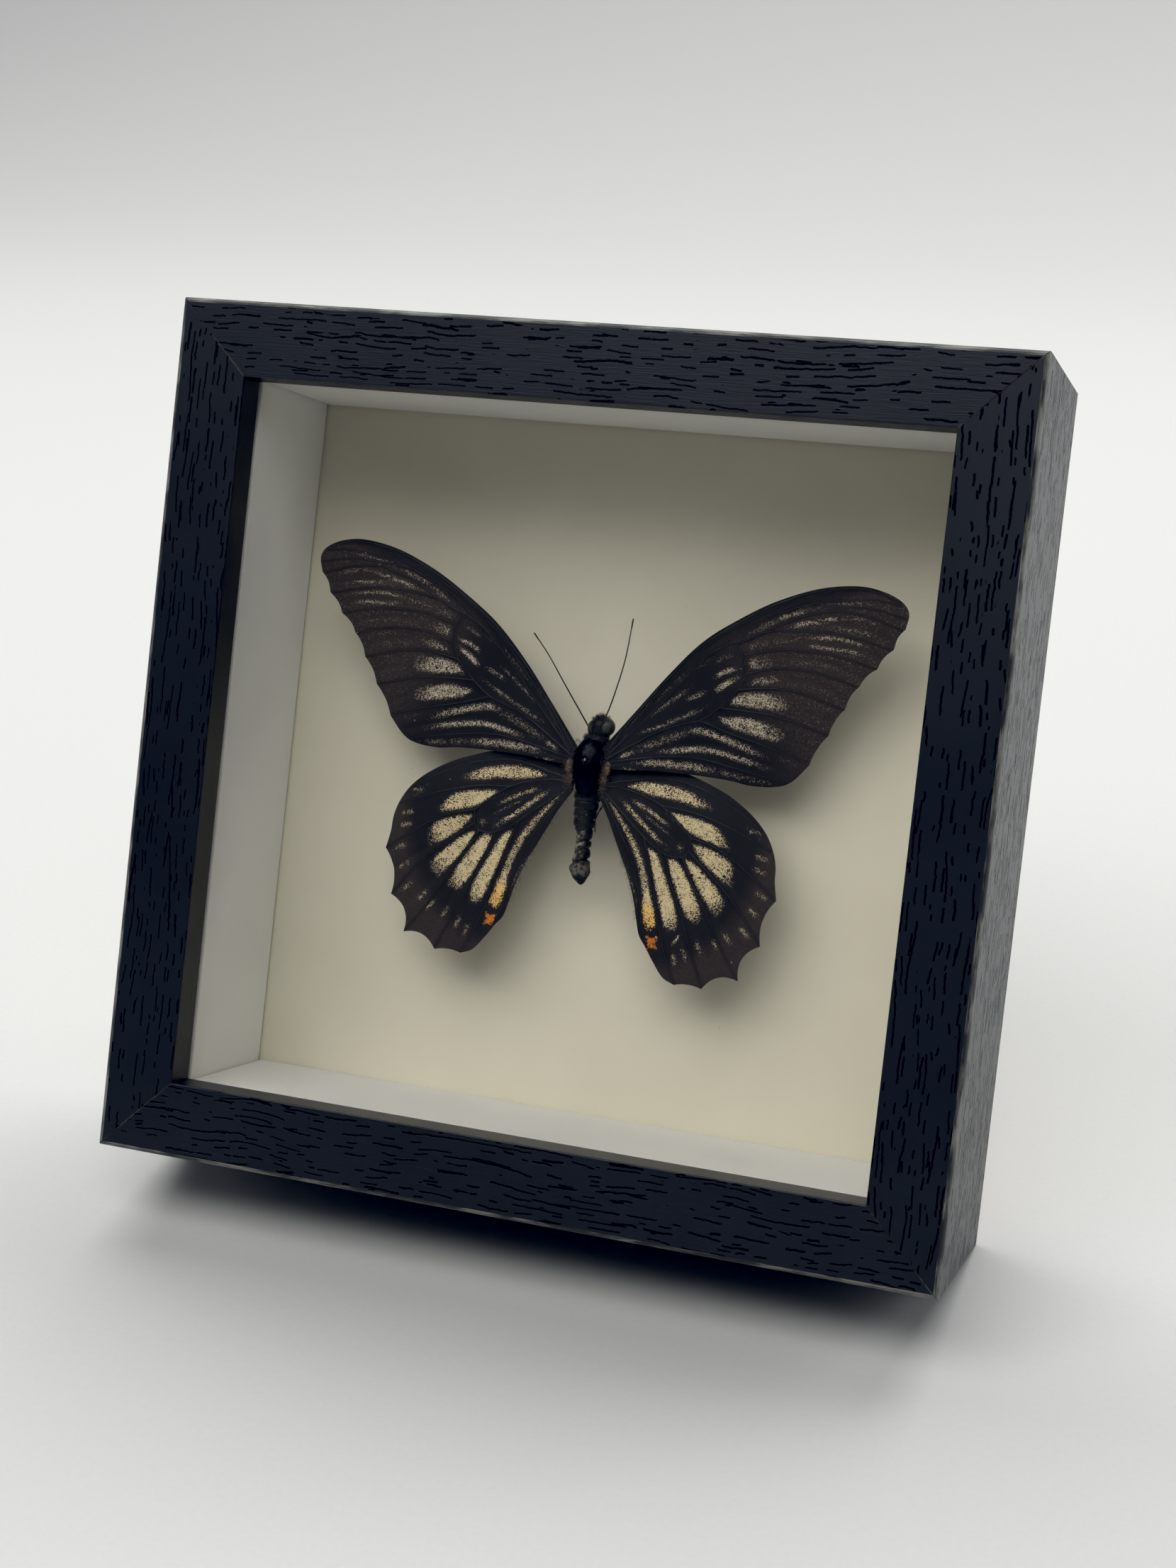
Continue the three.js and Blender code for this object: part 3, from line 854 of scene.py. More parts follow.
@dataclass(frozen=True)
class WingScales:
    """Wing scales: each tiny scale draws its own colour, by how strong the wing's marks are there.

    The marks are the attribute "scales": cream in red, brown in green, orange in blue, veins in alpha.
    """

    name: str
    cream: Colour
    sparse: Colour = (0.23, 0.19, 0.145)
    black: Colour = (0.0078, 0.0074, 0.0085)
    brown: Colour = (0.034, 0.0265, 0.0235)
    amber: Colour = (0.80, 0.50, 0.15)
    orange: Colour = (0.66, 0.20, 0.026)
    vein: Colour = (0.0045, 0.0045, 0.0060)
    per_mm: float = 7.0

    def material(self) -> bpy.types.Material:
        """Builds the scales.

        Returns:
            The material.
        """
        recipe = Recipe(self.name)
        place = recipe.upright()
        marks = recipe.add("Attribute", {}, attribute_name="scales", attribute_type="GEOMETRY")
        cream, brown, orange = recipe.add("SeparateColor", {"Color": marks.outputs["Color"]}).outputs
        cells = recipe.add("TexVoronoi", {"Vector": place, "Scale": self.per_mm, "Randomness": 1.0})
        draws = recipe.add("SeparateColor", {"Color": cells.outputs["Color"]}).outputs
        cloud = recipe.noise(place, 0.75, 3, 0.6)
        patchy = recipe.maths("MULTIPLY", cream, recipe.sharpen(cloud, 0.3, 0.7, 0.95, 1.4))
        pale = recipe.sharpen(recipe.maths("SUBTRACT", patchy, draws[0]), 0.0, 0.36)
        earthy = recipe.maths("MULTIPLY", brown, recipe.sharpen(draws[1], 0, 1, 0.55, 1.4))
        ground = recipe.blend(earthy, self.black, self.brown)
        dulled = recipe.blend(recipe.maths("MULTIPLY", draws[2], 0.4), self.cream, self.sparse)
        full = recipe.blend(recipe.sharpen(cream, 0.2, 0.65), self.sparse, dulled)
        golden = recipe.blend(recipe.sharpen(orange, 0.0, 0.5), full, self.amber)
        tint = recipe.blend(recipe.sharpen(orange, 0.55, 0.85), golden, self.orange)
        coloured = recipe.blend(pale, ground, tint)
        veined = recipe.maths("MULTIPLY", marks.outputs["Alpha"], 0.93)
        colour = recipe.blend(veined, coloured, self.vein)
        return recipe.shade(Base_Color=colour, Roughness=0.75, Specular_IOR_Level=0.25,
                            Normal=recipe.bump(cells.outputs["Distance"], 0.02))


@dataclass(frozen=True)
class Horn:
    """Hard insect skin: nearly black, glossy, finely wrinkled, with dry membrane where it is thin.

    The membrane is the attribute "dry", from 0 to 1.
    """

    name: str
    shell: Colour = (0.0045, 0.0045, 0.0060)
    membrane: Colour = (0.13, 0.105, 0.07)
    roughness: float = 0.24
    wrinkle: float = 0.05
    gloss: float = 0.5
    dried: bool = True

    def material(self) -> bpy.types.Material:
        """Builds the skin.

        Returns:
            The material.
        """
        recipe = Recipe(self.name)
        place = recipe.upright()
        folds = recipe.noise(place, 1.6, 5, 0.62, 0.6)
        pits = recipe.noise(place, 7, 2, 0.5)
        rough = recipe.sharpen(folds, 0.3, 0.7, self.roughness, self.roughness + 0.25)
        relief = recipe.bump(recipe.maths("ADD", folds, recipe.maths("MULTIPLY", pits, 0.3)), self.wrinkle)
        colour: Feed = self.shell
        if self.dried:
            dry = recipe.add("Attribute", {}, attribute_name="dry", attribute_type="GEOMETRY").outputs["Fac"]
            patch = recipe.maths("MULTIPLY", dry, recipe.sharpen(folds, 0.38, 0.6))
            colour = recipe.blend(patch, self.shell, self.membrane)
        else:
            # Painted highlight and shade: the skin is paler where the fold noise, and so the bump, stands
            # high, and darker in the creases.
            raised = tuple(2.5 * channel for channel in self.shell)
            colour = recipe.blend(recipe.sharpen(folds, 0.5, 0.9), self.shell, raised)
        return recipe.shade(Base_Color=colour, Roughness=rough, Specular_IOR_Level=self.gloss, Normal=relief)


@dataclass(frozen=True)
class CompoundEye:
    """A dull brown-grey eye with fine facets and a paler bloom."""

    base: Colour = (0.009, 0.009, 0.009)
    bloom: Colour = (0.034, 0.032, 0.030)

    def material(self) -> bpy.types.Material:
        """Builds the eye.

        Returns:
            The material.
        """
        recipe = Recipe("compound_eye")
        place = recipe.upright()
        facets = recipe.add("TexVoronoi", {"Vector": place, "Scale": 9.0, "Randomness": 0.25})
        cloud = recipe.noise(place, 0.8, 3)
        colour = recipe.blend(recipe.sharpen(cloud, 0.35, 0.65), self.base, self.bloom)
        relief = recipe.bump(facets.outputs["Distance"], 0.02)
        return recipe.shade(Base_Color=colour, Roughness=0.34, Normal=relief)


@dataclass(frozen=True)
class Hair:
    """Fine hair that varies a little in shade."""

    name: str
    dark: Colour
    light: Colour

    def material(self) -> bpy.types.Material:
        """Builds the hair.

        Returns:
            The material.
        """
        recipe = Recipe(self.name)
        shade = recipe.sharpen(recipe.noise(recipe.upright(), 2.2, 2), 0.35, 0.65)
        return recipe.shade(Base_Color=recipe.blend(shade, self.dark, self.light), Roughness=0.55,
                            Sheen_Weight=0.2)


# ---- The box frame ------------------------------------------------------------------------


@dataclass
class Moulding:
    """Four mitred rails: a flat face, a lip over the glass and a deep wall behind it."""

    face_width: float = 13.1
    wall_width: float = 9.2
    lip_depth: float = 6.4
    outer_edge: float = 0.85
    inner_edge: float = 0.3
    mitre_gap: float = 0.03
    mitre_scuff_and_highlight: float = 0.09
    wrap: float = 0.6

    def section_rail(self) -> bpy.types.Object:
        """Extrudes the bottom rail from a short block, rounds its long edges and mitres its ends.

        Returns:
            The rail, with faces of foil, rubbed foil that carries a painted edge highlight, and bare board.
        """
        half = FRAME_SIDE / 2
        rail = block("moulding_bottom", (-half, 0, 0), (half, self.lip_depth, self.wall_width))
        pick(rail, Pick.FACES, lambda c: near(c.y, self.lip_depth))
        self.pull((0, FRAME_DEPTH - self.lip_depth, 0))
        pick(rail, Pick.FACES, lambda c: near(c.z, self.wall_width) and c.y < self.lip_depth)
        self.pull((0, 0, self.face_width - self.wall_width))
        self.round_edge(rail, 0, 0, self.outer_edge)
        self.round_edge(rail, 0, self.face_width, self.inner_edge)
        self.round_edge(rail, FRAME_DEPTH, 0, self.inner_edge)
        self.round_edge(rail, self.lip_depth, self.face_width, self.inner_edge / 2)
        for side in (-1, 1):
            self.mitre(rail, side)
        soften(rail, 0.06, 1, 40)
        for face in rail.data.polygons:
            face.material_index = self.finish_at(face.center, face.normal)
        return rail

    def pull(self, move: Point) -> None:
        """Extrudes the selected faces and closes edit mode."""
        bpy.ops.mesh.extrude_region_move(TRANSFORM_OT_translate={"value": move})
        put_down()

    def round_edge(self, rail: bpy.types.Object, depth: float, height: float, width: float) -> None:
        """Rounds one long edge of the rail.

        Args:
            rail: The rail.
            depth: The edge's depth.
            height: The edge's height.
            width: How far the rounding reaches.
        """
        pick(rail, Pick.EDGES, lambda c: near(c.y, depth) and near(c.z, height))
        bpy.ops.mesh.bevel(offset=width, segments=3, affect="EDGES")
        put_down()

    def mitre(self, rail: bpy.types.Object, side: int) -> None:
        """Cuts one end of the bottom rail at 45 degrees.

        Args:
            rail: The rail.
            side: -1 for its left end and 1 for its right one.
        """
        pick(rail, Pick.FACES, lambda c: True)
        corner = (side * (FRAME_SIDE / 2 - self.mitre_gap), 0, 0)
        bpy.ops.mesh.bisect(plane_co=corner, plane_no=(side, 0, 1), use_fill=True, clear_outer=True)
        put_down()

    def finish_at(self, middle: Vector, facing: Vector) -> int:
        """Says which finish a face of the bottom rail has.

        Args:
            middle: The face's middle.
            facing: The face's normal.

        Returns:
            0 for foil, 1 for rubbed foil with a painted edge highlight, 2 for bare board and 3 for the plain
            foil on the lip.
        """
        from_mitre = (FRAME_SIDE / 2 - abs(middle.x) - middle.z) / math.sqrt(2)
        at_mitre = from_mitre < self.mitre_scuff_and_highlight
        # The mitre's front edge gets pale foil: a scuff and a painted highlight.
        if at_mitre and middle.y < 0.3 and facing.y < -0.3:
            return 1
        if at_mitre and abs(facing.x) > 0.6:
            return 2
        # The rounded outer rim gets pale foil: wear and a painted highlight where it catches the light.
        on_rim = middle.y < self.outer_edge and middle.z < self.outer_edge
        if on_rim and facing.y < -0.15 and facing.z < -0.15:
            return 1
        on_lip = middle.y < self.lip_depth and middle.z > self.face_width - self.wrap
        if facing.z > 0.9 and on_lip:
            return 3
        wrapped = middle.z < self.wrap or middle.y < self.wrap or on_lip
        return 0 if wrapped else 2

    def build(self) -> None:
        """Models one rail, copies it round the frame and dresses all four."""
        bare = Fibreboard("raw_moulding_core", (0.36, 0.25, 0.15), (0.24, 0.15, 0.08)).material()
        foils = {}
        for grain in Grain:
            plain = WoodgrainFoil(grain, layers=()).material()
            foils[grain] = (WoodgrainFoil(grain).material(), ScuffedAndHighlitEdge(grain).material(), bare, plain)
        first = self.section_rail()
        middle = Matrix.Translation((0, 0, FRAME_MIDDLE))
        for turn, place in enumerate(("bottom", "left", "top", "right")):
            rail = first.copy()
            rail.data = first.data.copy()
            rail.name = f"moulding_{place}"
            bpy.context.scene.collection.objects.link(rail)
            rail.data.transform(middle @ Matrix.Rotation(turn * math.pi / 2, 4, "Y") @ middle.inverted())
            grain = Grain.LEVEL if turn % 2 == 0 else Grain.UPRIGHT
            finish_with(rail, *foils[grain])
            stand(rail, CASE, "woodgrain_foil", f"rail_{place}")
        bpy.data.objects.remove(first)


@dataclass
class BoxContents:
    """The glass, the white liner, the cream board and the back panel that the moulding holds."""

    liner_edge: float = 0.32
    board_edge: float = 0.1

    def build(self) -> None:
        """Refines and dresses each flat piece."""
        glass = from_cad("glass_pane", "picture_glass_pane")
        apply_modifier(glass, "BEVEL", width=0.15, segments=1)
        finish_with(glass, Glazing().material())
        stand(glass, CASE, "glass", "glass_pane").visible_shadow = False
        white = Paper("white_liner_paper", sheet=(0.84, 0.84, 0.81), mottle=(0.80, 0.80, 0.77))
        liner = white.material()
        for place in ("left", "right", "bottom", "top"):
            panel = from_cad(f"liner_{place}", f"white_liner_{place}")
            soften(panel, self.liner_edge, 2)
            finish_with(panel, liner)
            stand(panel, CASE, "white_liner", f"liner_{place}")
        board = from_cad("mount_board", "cream_mount_board")
        soften(board, self.board_edge, 2)
        cream = Paper("cream_board_paper", sheet=(0.70, 0.665, 0.535), mottle=(0.665, 0.63, 0.50),
                      speck=(0.16, 0.13, 0.08), specks=0.002)
        finish_with(board, cream.material())
        stand(board, CASE, "cream_board", "mount_board")
        panel = from_cad("back_panel", "hardboard_back_panel")
        soften(panel, 0.25, 2)
        finish_with(panel, Fibreboard("hardboard").material())
        stand(panel, CASE, "hardboard", "back_panel")


@dataclass
class Hardware:
    """The flexible points, the sawtooth hanger, the hinge and the leg at the back."""

    def refine(self, node: str, name: str, edge: float, finish: bpy.types.Material, slot: str,
               body: str = CASE) -> None:
        """Refines one CAD fitting.

        Args:
            node: The CAD node's name.
            name: The new piece's name.
            edge: How far its edges are rounded.
            finish: Its material.
            slot: The material slot's name, passed on to stand, which doesn't use it.
            body: The CAD body that it moves with.
        """
        piece = from_cad(node, name)
        soften(piece, edge, 2, 28)
        finish_with(piece, finish)
        stand(piece, body, slot, node)

    def build(self) -> None:
        """Dresses each fitting."""
        zinc = Metal("zinc_plate", (0.62, 0.62, 0.63), (0.45, 0.45, 0.44), 0.38).material()
        steel = Metal("bright_steel", (0.52, 0.52, 0.53), (0.36, 0.35, 0.34), 0.3).material()
        for number in range(1, 9):
            self.refine(f"flexible_point_{number}", f"steel_point_{number}", 0.12, zinc, "zinc")
        self.refine("sawtooth_hanger", "sawtooth_hanger_plate", 0.12, zinc, "zinc")
        for number in (1, 2):
            self.refine(f"hanger_nail_{number}", f"hanger_nail_head_{number}", 0.25, steel, "steel")
        self.refine("hinge_bracket", "hinge_bracket_plate", 0.12, steel, "steel")
        for number in range(1, 5):
            self.refine(f"bracket_rivet_{number}", f"bracket_rivet_head_{number}", 0.3, steel, "steel")
        self.refine("hinge_pin", "hinge_pin_rod", 0.15, steel, "steel")
        self.refine("easel_leg", "easel_leg_board", 0.3, LegCloth().material(), "leg_board", EASEL)
        self.refine("hinge_leaf", "hinge_leaf_plate", 0.12, steel, "steel", EASEL)
        for number in (1, 2):
            self.refine(f"leaf_rivet_{number}", f"leaf_rivet_head_{number}", 0.3, steel, "steel", EASEL)


# ---- Wings --------------------------------------------------------------------------------


LINE_STEPS = 24
FAN_CENTRE: Flat = (10, -5)
LUNULE_CENTRE: Flat = (12, -6)


@dataclass(frozen=True)
class Brush:
    """A pale stroke of scales along a line on the wing."""

    line: tuple[Flat, ...]
    width: float
    strength: float

    def lay(self, points: np.ndarray) -> np.ndarray:
        """Gives the stroke's strength at points on the wing.

        Args:
            points: Places on the wing, as rows.

        Returns:
            The strength of each.
        """
        gap, share = nearest(points, smooth_line(self.line, LINE_STEPS))
        ends = ease(share, -0.05, 0.2) * ease(1 - share, -0.05, 0.3)
        body = 1 - ease(gap, 0.1 * self.width, 1.6 * self.width)
        return self.strength * body * (0.3 + 0.7 * ends)


@dataclass(frozen=True)
class Patch:
    """A pale patch of scales with dissolving edges."""

    corners: tuple[Flat, ...]
    strength: float
    edge: float = 1.0
    fade: float = 0.6

    def lay(self, points: np.ndarray) -> np.ndarray:
        """Gives the patch's strength at points on the wing.

        Args:
            points: Places on the wing, as rows.

        Returns:
            The strength of each, soft at the sides and thinning out at the patch's far end.
        """
        middle, height = FAN_CENTRE
        reach = np.hypot(points[:, 0] - middle, points[:, 1] - height)
        far = max(math.hypot(x - middle, y - height) for x, y in self.corners)
        thinning = 1 - self.fade * ease(reach, far - 4.2, far + 0.4)
        inside = ease(depth_inside(points, self.corners), -0.62 * self.edge, 0.55 * self.edge)
        return self.strength * thinning * inside


@dataclass(frozen=True)
class Vein:
    """A vein: a fine raised tube with dark scales beside it."""

    line: tuple[Flat, ...]
    root: float = 0.16
    tip: float = 0.07
    shadow: float = 0.4


@dataclass(frozen=True)
class WingPlan:
    """Everything that is drawn on one kind of wing, as places (across, up) from the body's middle."""

    name: str
    leading: tuple[Flat, ...]
    vein_ends: tuple[Flat, ...]
    scallops: tuple[float, ...]
    trailing: tuple[Flat, ...]
    veins: tuple[Vein, ...]
    folds: tuple[tuple[Flat, ...], ...]
    brushes: tuple[Brush, ...]
    patches: tuple[Patch, ...]
    lunules: tuple[Flat, ...]
    grazes: tuple[Brush, ...]
    depth_at: Callable[[np.ndarray, np.ndarray], np.ndarray]
    brown_at: Callable[[np.ndarray, np.ndarray], np.ndarray]
    orange_at: Callable[[np.ndarray, np.ndarray], np.ndarray]
    cream: Colour
    ground: float
    brush_strength: float
    fold_shade: float


WING_ROOT = 2.3


def forewing_depth(across: np.ndarray, up: np.ndarray) -> np.ndarray:
    """Gives the forewing's depth: a flat blade twisted about its length, leading edge forward.

    Args:
        across: Distances from the body's middle.
        up: Heights from the frame's middle.

    Returns:
        The depth at each place.
    """
    angle = math.radians(19.5)
    ahead = (up - 4) * math.cos(angle) - (across - 3.5) * math.sin(angle)
    along = (across - 3.5) * math.cos(angle) + (up - 4) * math.sin(angle)
    return 25.3 - 0.22 * ahead * np.clip(along / 25, 0, 1)


def hindwing_depth(across: np.ndarray, up: np.ndarray) -> np.ndarray:
    """Gives the hindwing's depth: nearly flat, with its leading edge behind the forewing."""
    return 25.6 + 1.3 * np.exp(-(((up - 3) / 5.5) ** 2)) + 0 * across


def forewing_brown(across: np.ndarray, up: np.ndarray) -> np.ndarray:
    """Gives how brown the forewing's ground is: black at the root and costa, brown beyond.

    Args:
        across: Distances from the body's middle.
        up: Heights from the frame's middle.

    Returns:
        The share of brown at each place.
    """
    reach = across * math.cos(math.radians(33)) + up * math.sin(math.radians(33))
    costa = up - 0.42 * across - 11.5
    return ease(reach, 26, 42) * (1 - 0.75 * ease(costa, 3.5, 6.5))


def hindwing_brown(across: np.ndarray, up: np.ndarray) -> np.ndarray:
    """Gives how brown the hindwing's ground is: black in the middle, brown towards the margin."""
    reach = np.hypot((across - 12) / 23, (up + 8) / 27)
    return 0.03 + 0.87 * ease(reach, 0.84, 1.02)


def hindwing_orange(across: np.ndarray, up: np.ndarray) -> np.ndarray:
    """Gives the orange of the spot near the inner corner, and the amber end of the patch above it.

    Args:
        across: Distances from the body's middle.
        up: Heights from the frame's middle.

    Returns:
        The share of orange at each place.
    """
    spot = 1 - ease(np.hypot((across - 15.1) / 1.2, (up + 28.2) / 1.2), 0.9, 1.6)
    amber = 0.42 * ease(-up, 19.5, 23.5) * (1 - ease(across, 15.2, 16.4)) * (1 - ease(-up, 26.3, 26.9))
    return np.maximum(spot, amber)


def no_orange(across: np.ndarray, up: np.ndarray) -> np.ndarray:
    """Gives no orange at all."""
    return 0 * across * up


CELL_FOLD = ((9.2, 4.6), (14.5, 6.5), (19.9, 7.5), (23.1, 7.5), (29.6, 5.9), (35.8, 3.8))

FOREWING = WingPlan(
    name="forewing",
    leading=((WING_ROOT, 4.6), (8, 12), (13, 18.4), (19, 24.9), (25.5, 29.6), (31.5, 33.1),
             (38.5, 35.9), (45, 37), (49.5, 36.5), (52.7, 35.1), (54, 33.2), (53.6, 30.6)),
    vein_ends=((53.6, 30.6), (51.9, 27), (49.4, 23.5), (46.6, 20.3), (44.5, 16.2), (42, 11.4), (39, 5.9)),
    scallops=(0.4,) * 6,
    trailing=((39, 5.9), (36.2, 2.7), (33.4, 1.5), (29.2, 1.2), (25, 1.7), (18.5, 1.9), (11, 1.7),
              (WING_ROOT, 0.9)),
    veins=(
        Vein(((3, 4.2), (8.3, 11.7), (13.3, 18.1), (19.3, 24.5), (25.7, 29.2), (31.6, 32.7), (38.5, 35.5),
              (45, 36.6), (49.3, 36.1), (52.4, 34.8)), 0.26, 0.1, 0.5),
        Vein(((3.5, 4), (14, 18), (22, 26.2), (30, 31.2), (34, 33.6)), 0.2, 0.08, 0.35),
        Vein(((3.5, 3.6), (12, 13.2), (19, 21.4), (22.2, 24.2), (24.8, 25.6)), 0.22, 0.14, 0.42),
        Vein(((19, 21.6), (27, 28.6), (34, 32.6), (41, 35.6)), 0.13, 0.07, 0.3),
        Vein(((24.8, 25.8), (30, 30), (36, 32.8), (42, 34.2), (48.5, 35.0), (52.6, 34.4)), 0.12, 0.07, 0.3),
        Vein(((36, 32.8), (42, 33.3), (48, 33.4), (53.5, 32.4)), 0.1, 0.06, 0.25),
        Vein(((3.5, 3), (12.1, 8.6), (16.4, 10.4), (19.6, 11.6), (22.6, 14), (25.7, 17.4), (27.1, 20.3)),
             0.2, 0.14, 0.42),
        Vein(((27.1, 20.3), (26.5, 22.9), (24.9, 25.6)), 0.12, 0.12, 0.38),
        Vein(((24.8, 25.6), (29.5, 27.6), (35, 30.6), (40, 32.2), (42.8, 32.6), (47.7, 32), (53.1, 30.4)),
             0.14, 0.07, 0.36),
        Vein(((25.2, 25.4), (28, 26.7), (31.5, 28.1), (39.5, 28.8), (45.7, 28.3), (51.2, 27)),
             0.13, 0.07, 0.34),
        Vein(((26.5, 23.6), (33, 25.1), (39, 25.3), (44.4, 24.6), (49, 23.5)), 0.13, 0.07, 0.34),
        Vein(((27, 20.4), (32.1, 21.8), (37.4, 22), (42, 21.3), (46.3, 20.1)), 0.13, 0.07, 0.36),
        Vein(((25.7, 17.5), (31, 18.3), (36.3, 18.2), (41, 17), (44.4, 16)), 0.14, 0.07, 0.4),
        Vein(((22.6, 14.1), (28.2, 14), (32.7, 13.7), (37, 12.7), (41.9, 11.4)), 0.14, 0.07, 0.42),
        Vein(((19.6, 11.5), (25.1, 9.8), (31.6, 8.3), (38.5, 6.4)), 0.14, 0.07, 0.45),
        Vein(((3.5, 2.3), (5.1, 2.7), (12.5, 4.3), (19, 4.9), (25.5, 4.1), (32, 2.9), (35, 2.3)),
             0.17, 0.07, 0.42),
        Vein(((3.5, 1.7), (6, 2.0), (9, 2.1), (12.5, 1.9)), 0.1, 0.06, 0.3),
    ),
    folds=(
        CELL_FOLD,
        ((34, 30.6), (39.5, 30.6), (46.5, 30), (51.8, 28.8)),
        ((37.8, 27), (44, 26.8), (49.5, 25.4)),
        ((32.1, 23.7), (39.2, 24.1), (47, 22)),
        ((33, 20.3), (39, 20), (44.5, 17.9)),
        ((37.3, 15.2), (42.8, 13.7)),
        ((35.5, 9.9), (40.5, 8.6)),
    ),
    brushes=(
        Brush(((26.7, 26.8), (29.2, 28.3), (32.5, 30.3)), 0.75, 0.42),
        Brush(((31.5, 30.1), (34.2, 31.1), (37.6, 32.4)), 0.6, 0.58),
        Brush(((36.5, 32.2), (40.5, 33.4), (45.6, 34.2), (48.6, 34.3)), 0.6, 0.42),
        Brush(((33.8, 28.9), (36.8, 30), (41, 31), (43.5, 31.5)), 0.55, 0.68),
        Brush(((41, 31.1), (44.4, 31.6), (48.3, 31.2), (51, 30.2)), 0.5, 0.42),
        Brush(((40.3, 29.8), (44.6, 29.5), (46.9, 29.3), (49.6, 28.8)), 0.42, 0.56),
        Brush(((30.5, 26), (35.5, 27), (38.6, 27.6)), 0.55, 0.38),
        Brush(((37, 27.5), (41.6, 27.9), (44.8, 27.6), (48.3, 26.8)), 0.42, 0.62),
        Brush(((36.5, 26.3), (41, 26.1), (44.9, 26), (48, 25.3)), 0.42, 0.6),
        Brush(((26.7, 24.9), (29, 25.5), (31.3, 26.1)), 0.85, 0.36),
        Brush(((34.5, 24.4), (40.3, 24.6), (44.2, 24.1), (48, 23)), 0.4, 0.36),
        Brush(((34.5, 23.1), (40.4, 23.2), (44.4, 22.5), (47.2, 21.7)), 0.42, 0.36),
        Brush(((34, 21.1), (40, 20.8), (45.5, 19.4)), 0.42, 0.3),
        Brush(((34, 19.3), (40, 19), (44.5, 17.4)), 0.42, 0.3),
        Brush(((35, 16.6), (40, 15.6), (43.4, 14.5)), 0.5, 0.22),
        Brush(((34.5, 11.4), (38, 10.2), (41, 9.2)), 0.6, 0.22),
        Brush(((33, 6.9), (36, 5.9), (38.4, 5.3)), 0.5, 0.24),
        Brush(((21.9, 16.8), (23.8, 18.4), (25.7, 19.6)), 0.62, 0.84),
        Brush(((21.6, 19.2), (23.6, 20.4), (25.8, 21.1)), 0.5, 0.74),
        Brush(((9.7, 10.7), (13.8, 14), (17.8, 17.3)), 0.42, 0.5),
        Brush(((16.9, 14.9), (18.8, 15.8), (20.6, 16.6)), 0.5, 0.62),
        Brush(((8.8, 8), (13.1, 10), (17.2, 12.2), (21.3, 14.6)), 0.48, 0.52),
        Brush(((14.5, 16.9), (17.6, 19.8), (21.6, 23)), 0.42, 0.34),
        Brush(((21.7, 21.9), (23.4, 22.9), (25, 23.6)), 0.5, 0.42),
        Brush(((4.0, 3.9), (5.8, 7), (10.1, 13.3), (12.6, 16)), 0.42, 0.5),
        Brush(((11, 13.4), (14.8, 17.8), (18.6, 21.6)), 0.3, 0.3),
        Brush(((5.7, 3.3), (7, 4.1), (8.5, 4.8)), 0.5, 0.66),
        Brush(((8.5, 4.9), (13.5, 7.4), (18.2, 9.3)), 0.85, 0.46),
        Brush(((17, 9.2), (19.7, 9.7), (24.5, 8.6), (28, 7.5), (31.4, 6.3)), 0.72, 0.74),
        Brush(((12.5, 5.3), (14.7, 5.6), (20, 6.5), (25.5, 5.9), (32.2, 4.5)), 0.6, 0.78),
        Brush(((8.3, 2.9), (14, 3.3), (19.5, 3.3), (24, 2.9)), 0.8, 0.7),
        Brush(((23, 3), (28, 2.4), (33, 1.9)), 0.6, 0.45),
        Brush(((6, 1.7), (9, 1.35), (12, 1.1)), 0.4, 0.6),
    ),
    patches=(
        Patch(((27.6, 23.1), (29.6, 23.7), (31.7, 23.5), (31.8, 22.3), (29.6, 21.6), (27.7, 21.5)), 0.5),
        Patch(((27.6, 18.7), (29.8, 20.2), (32.8, 20.9), (33.4, 19.6), (30.2, 18.8)), 0.52),
        Patch(((24.6, 15), (26, 16.6), (30, 17.4), (34.2, 17.2), (34.4, 14.9), (29.4, 14.7)), 0.64),
        Patch(((22.9, 12.4), (28, 12.8), (33.9, 11.6), (33.9, 9.4), (28.8, 10), (24.2, 11.2)), 0.66),
    ),
    lunules=(),
    grazes=(),
    depth_at=forewing_depth,
    brown_at=forewing_brown,
    orange_at=no_orange,
    cream=(0.56, 0.495, 0.365),
    ground=0.15,
    brush_strength=0.76,
    fold_shade=0.5,
)

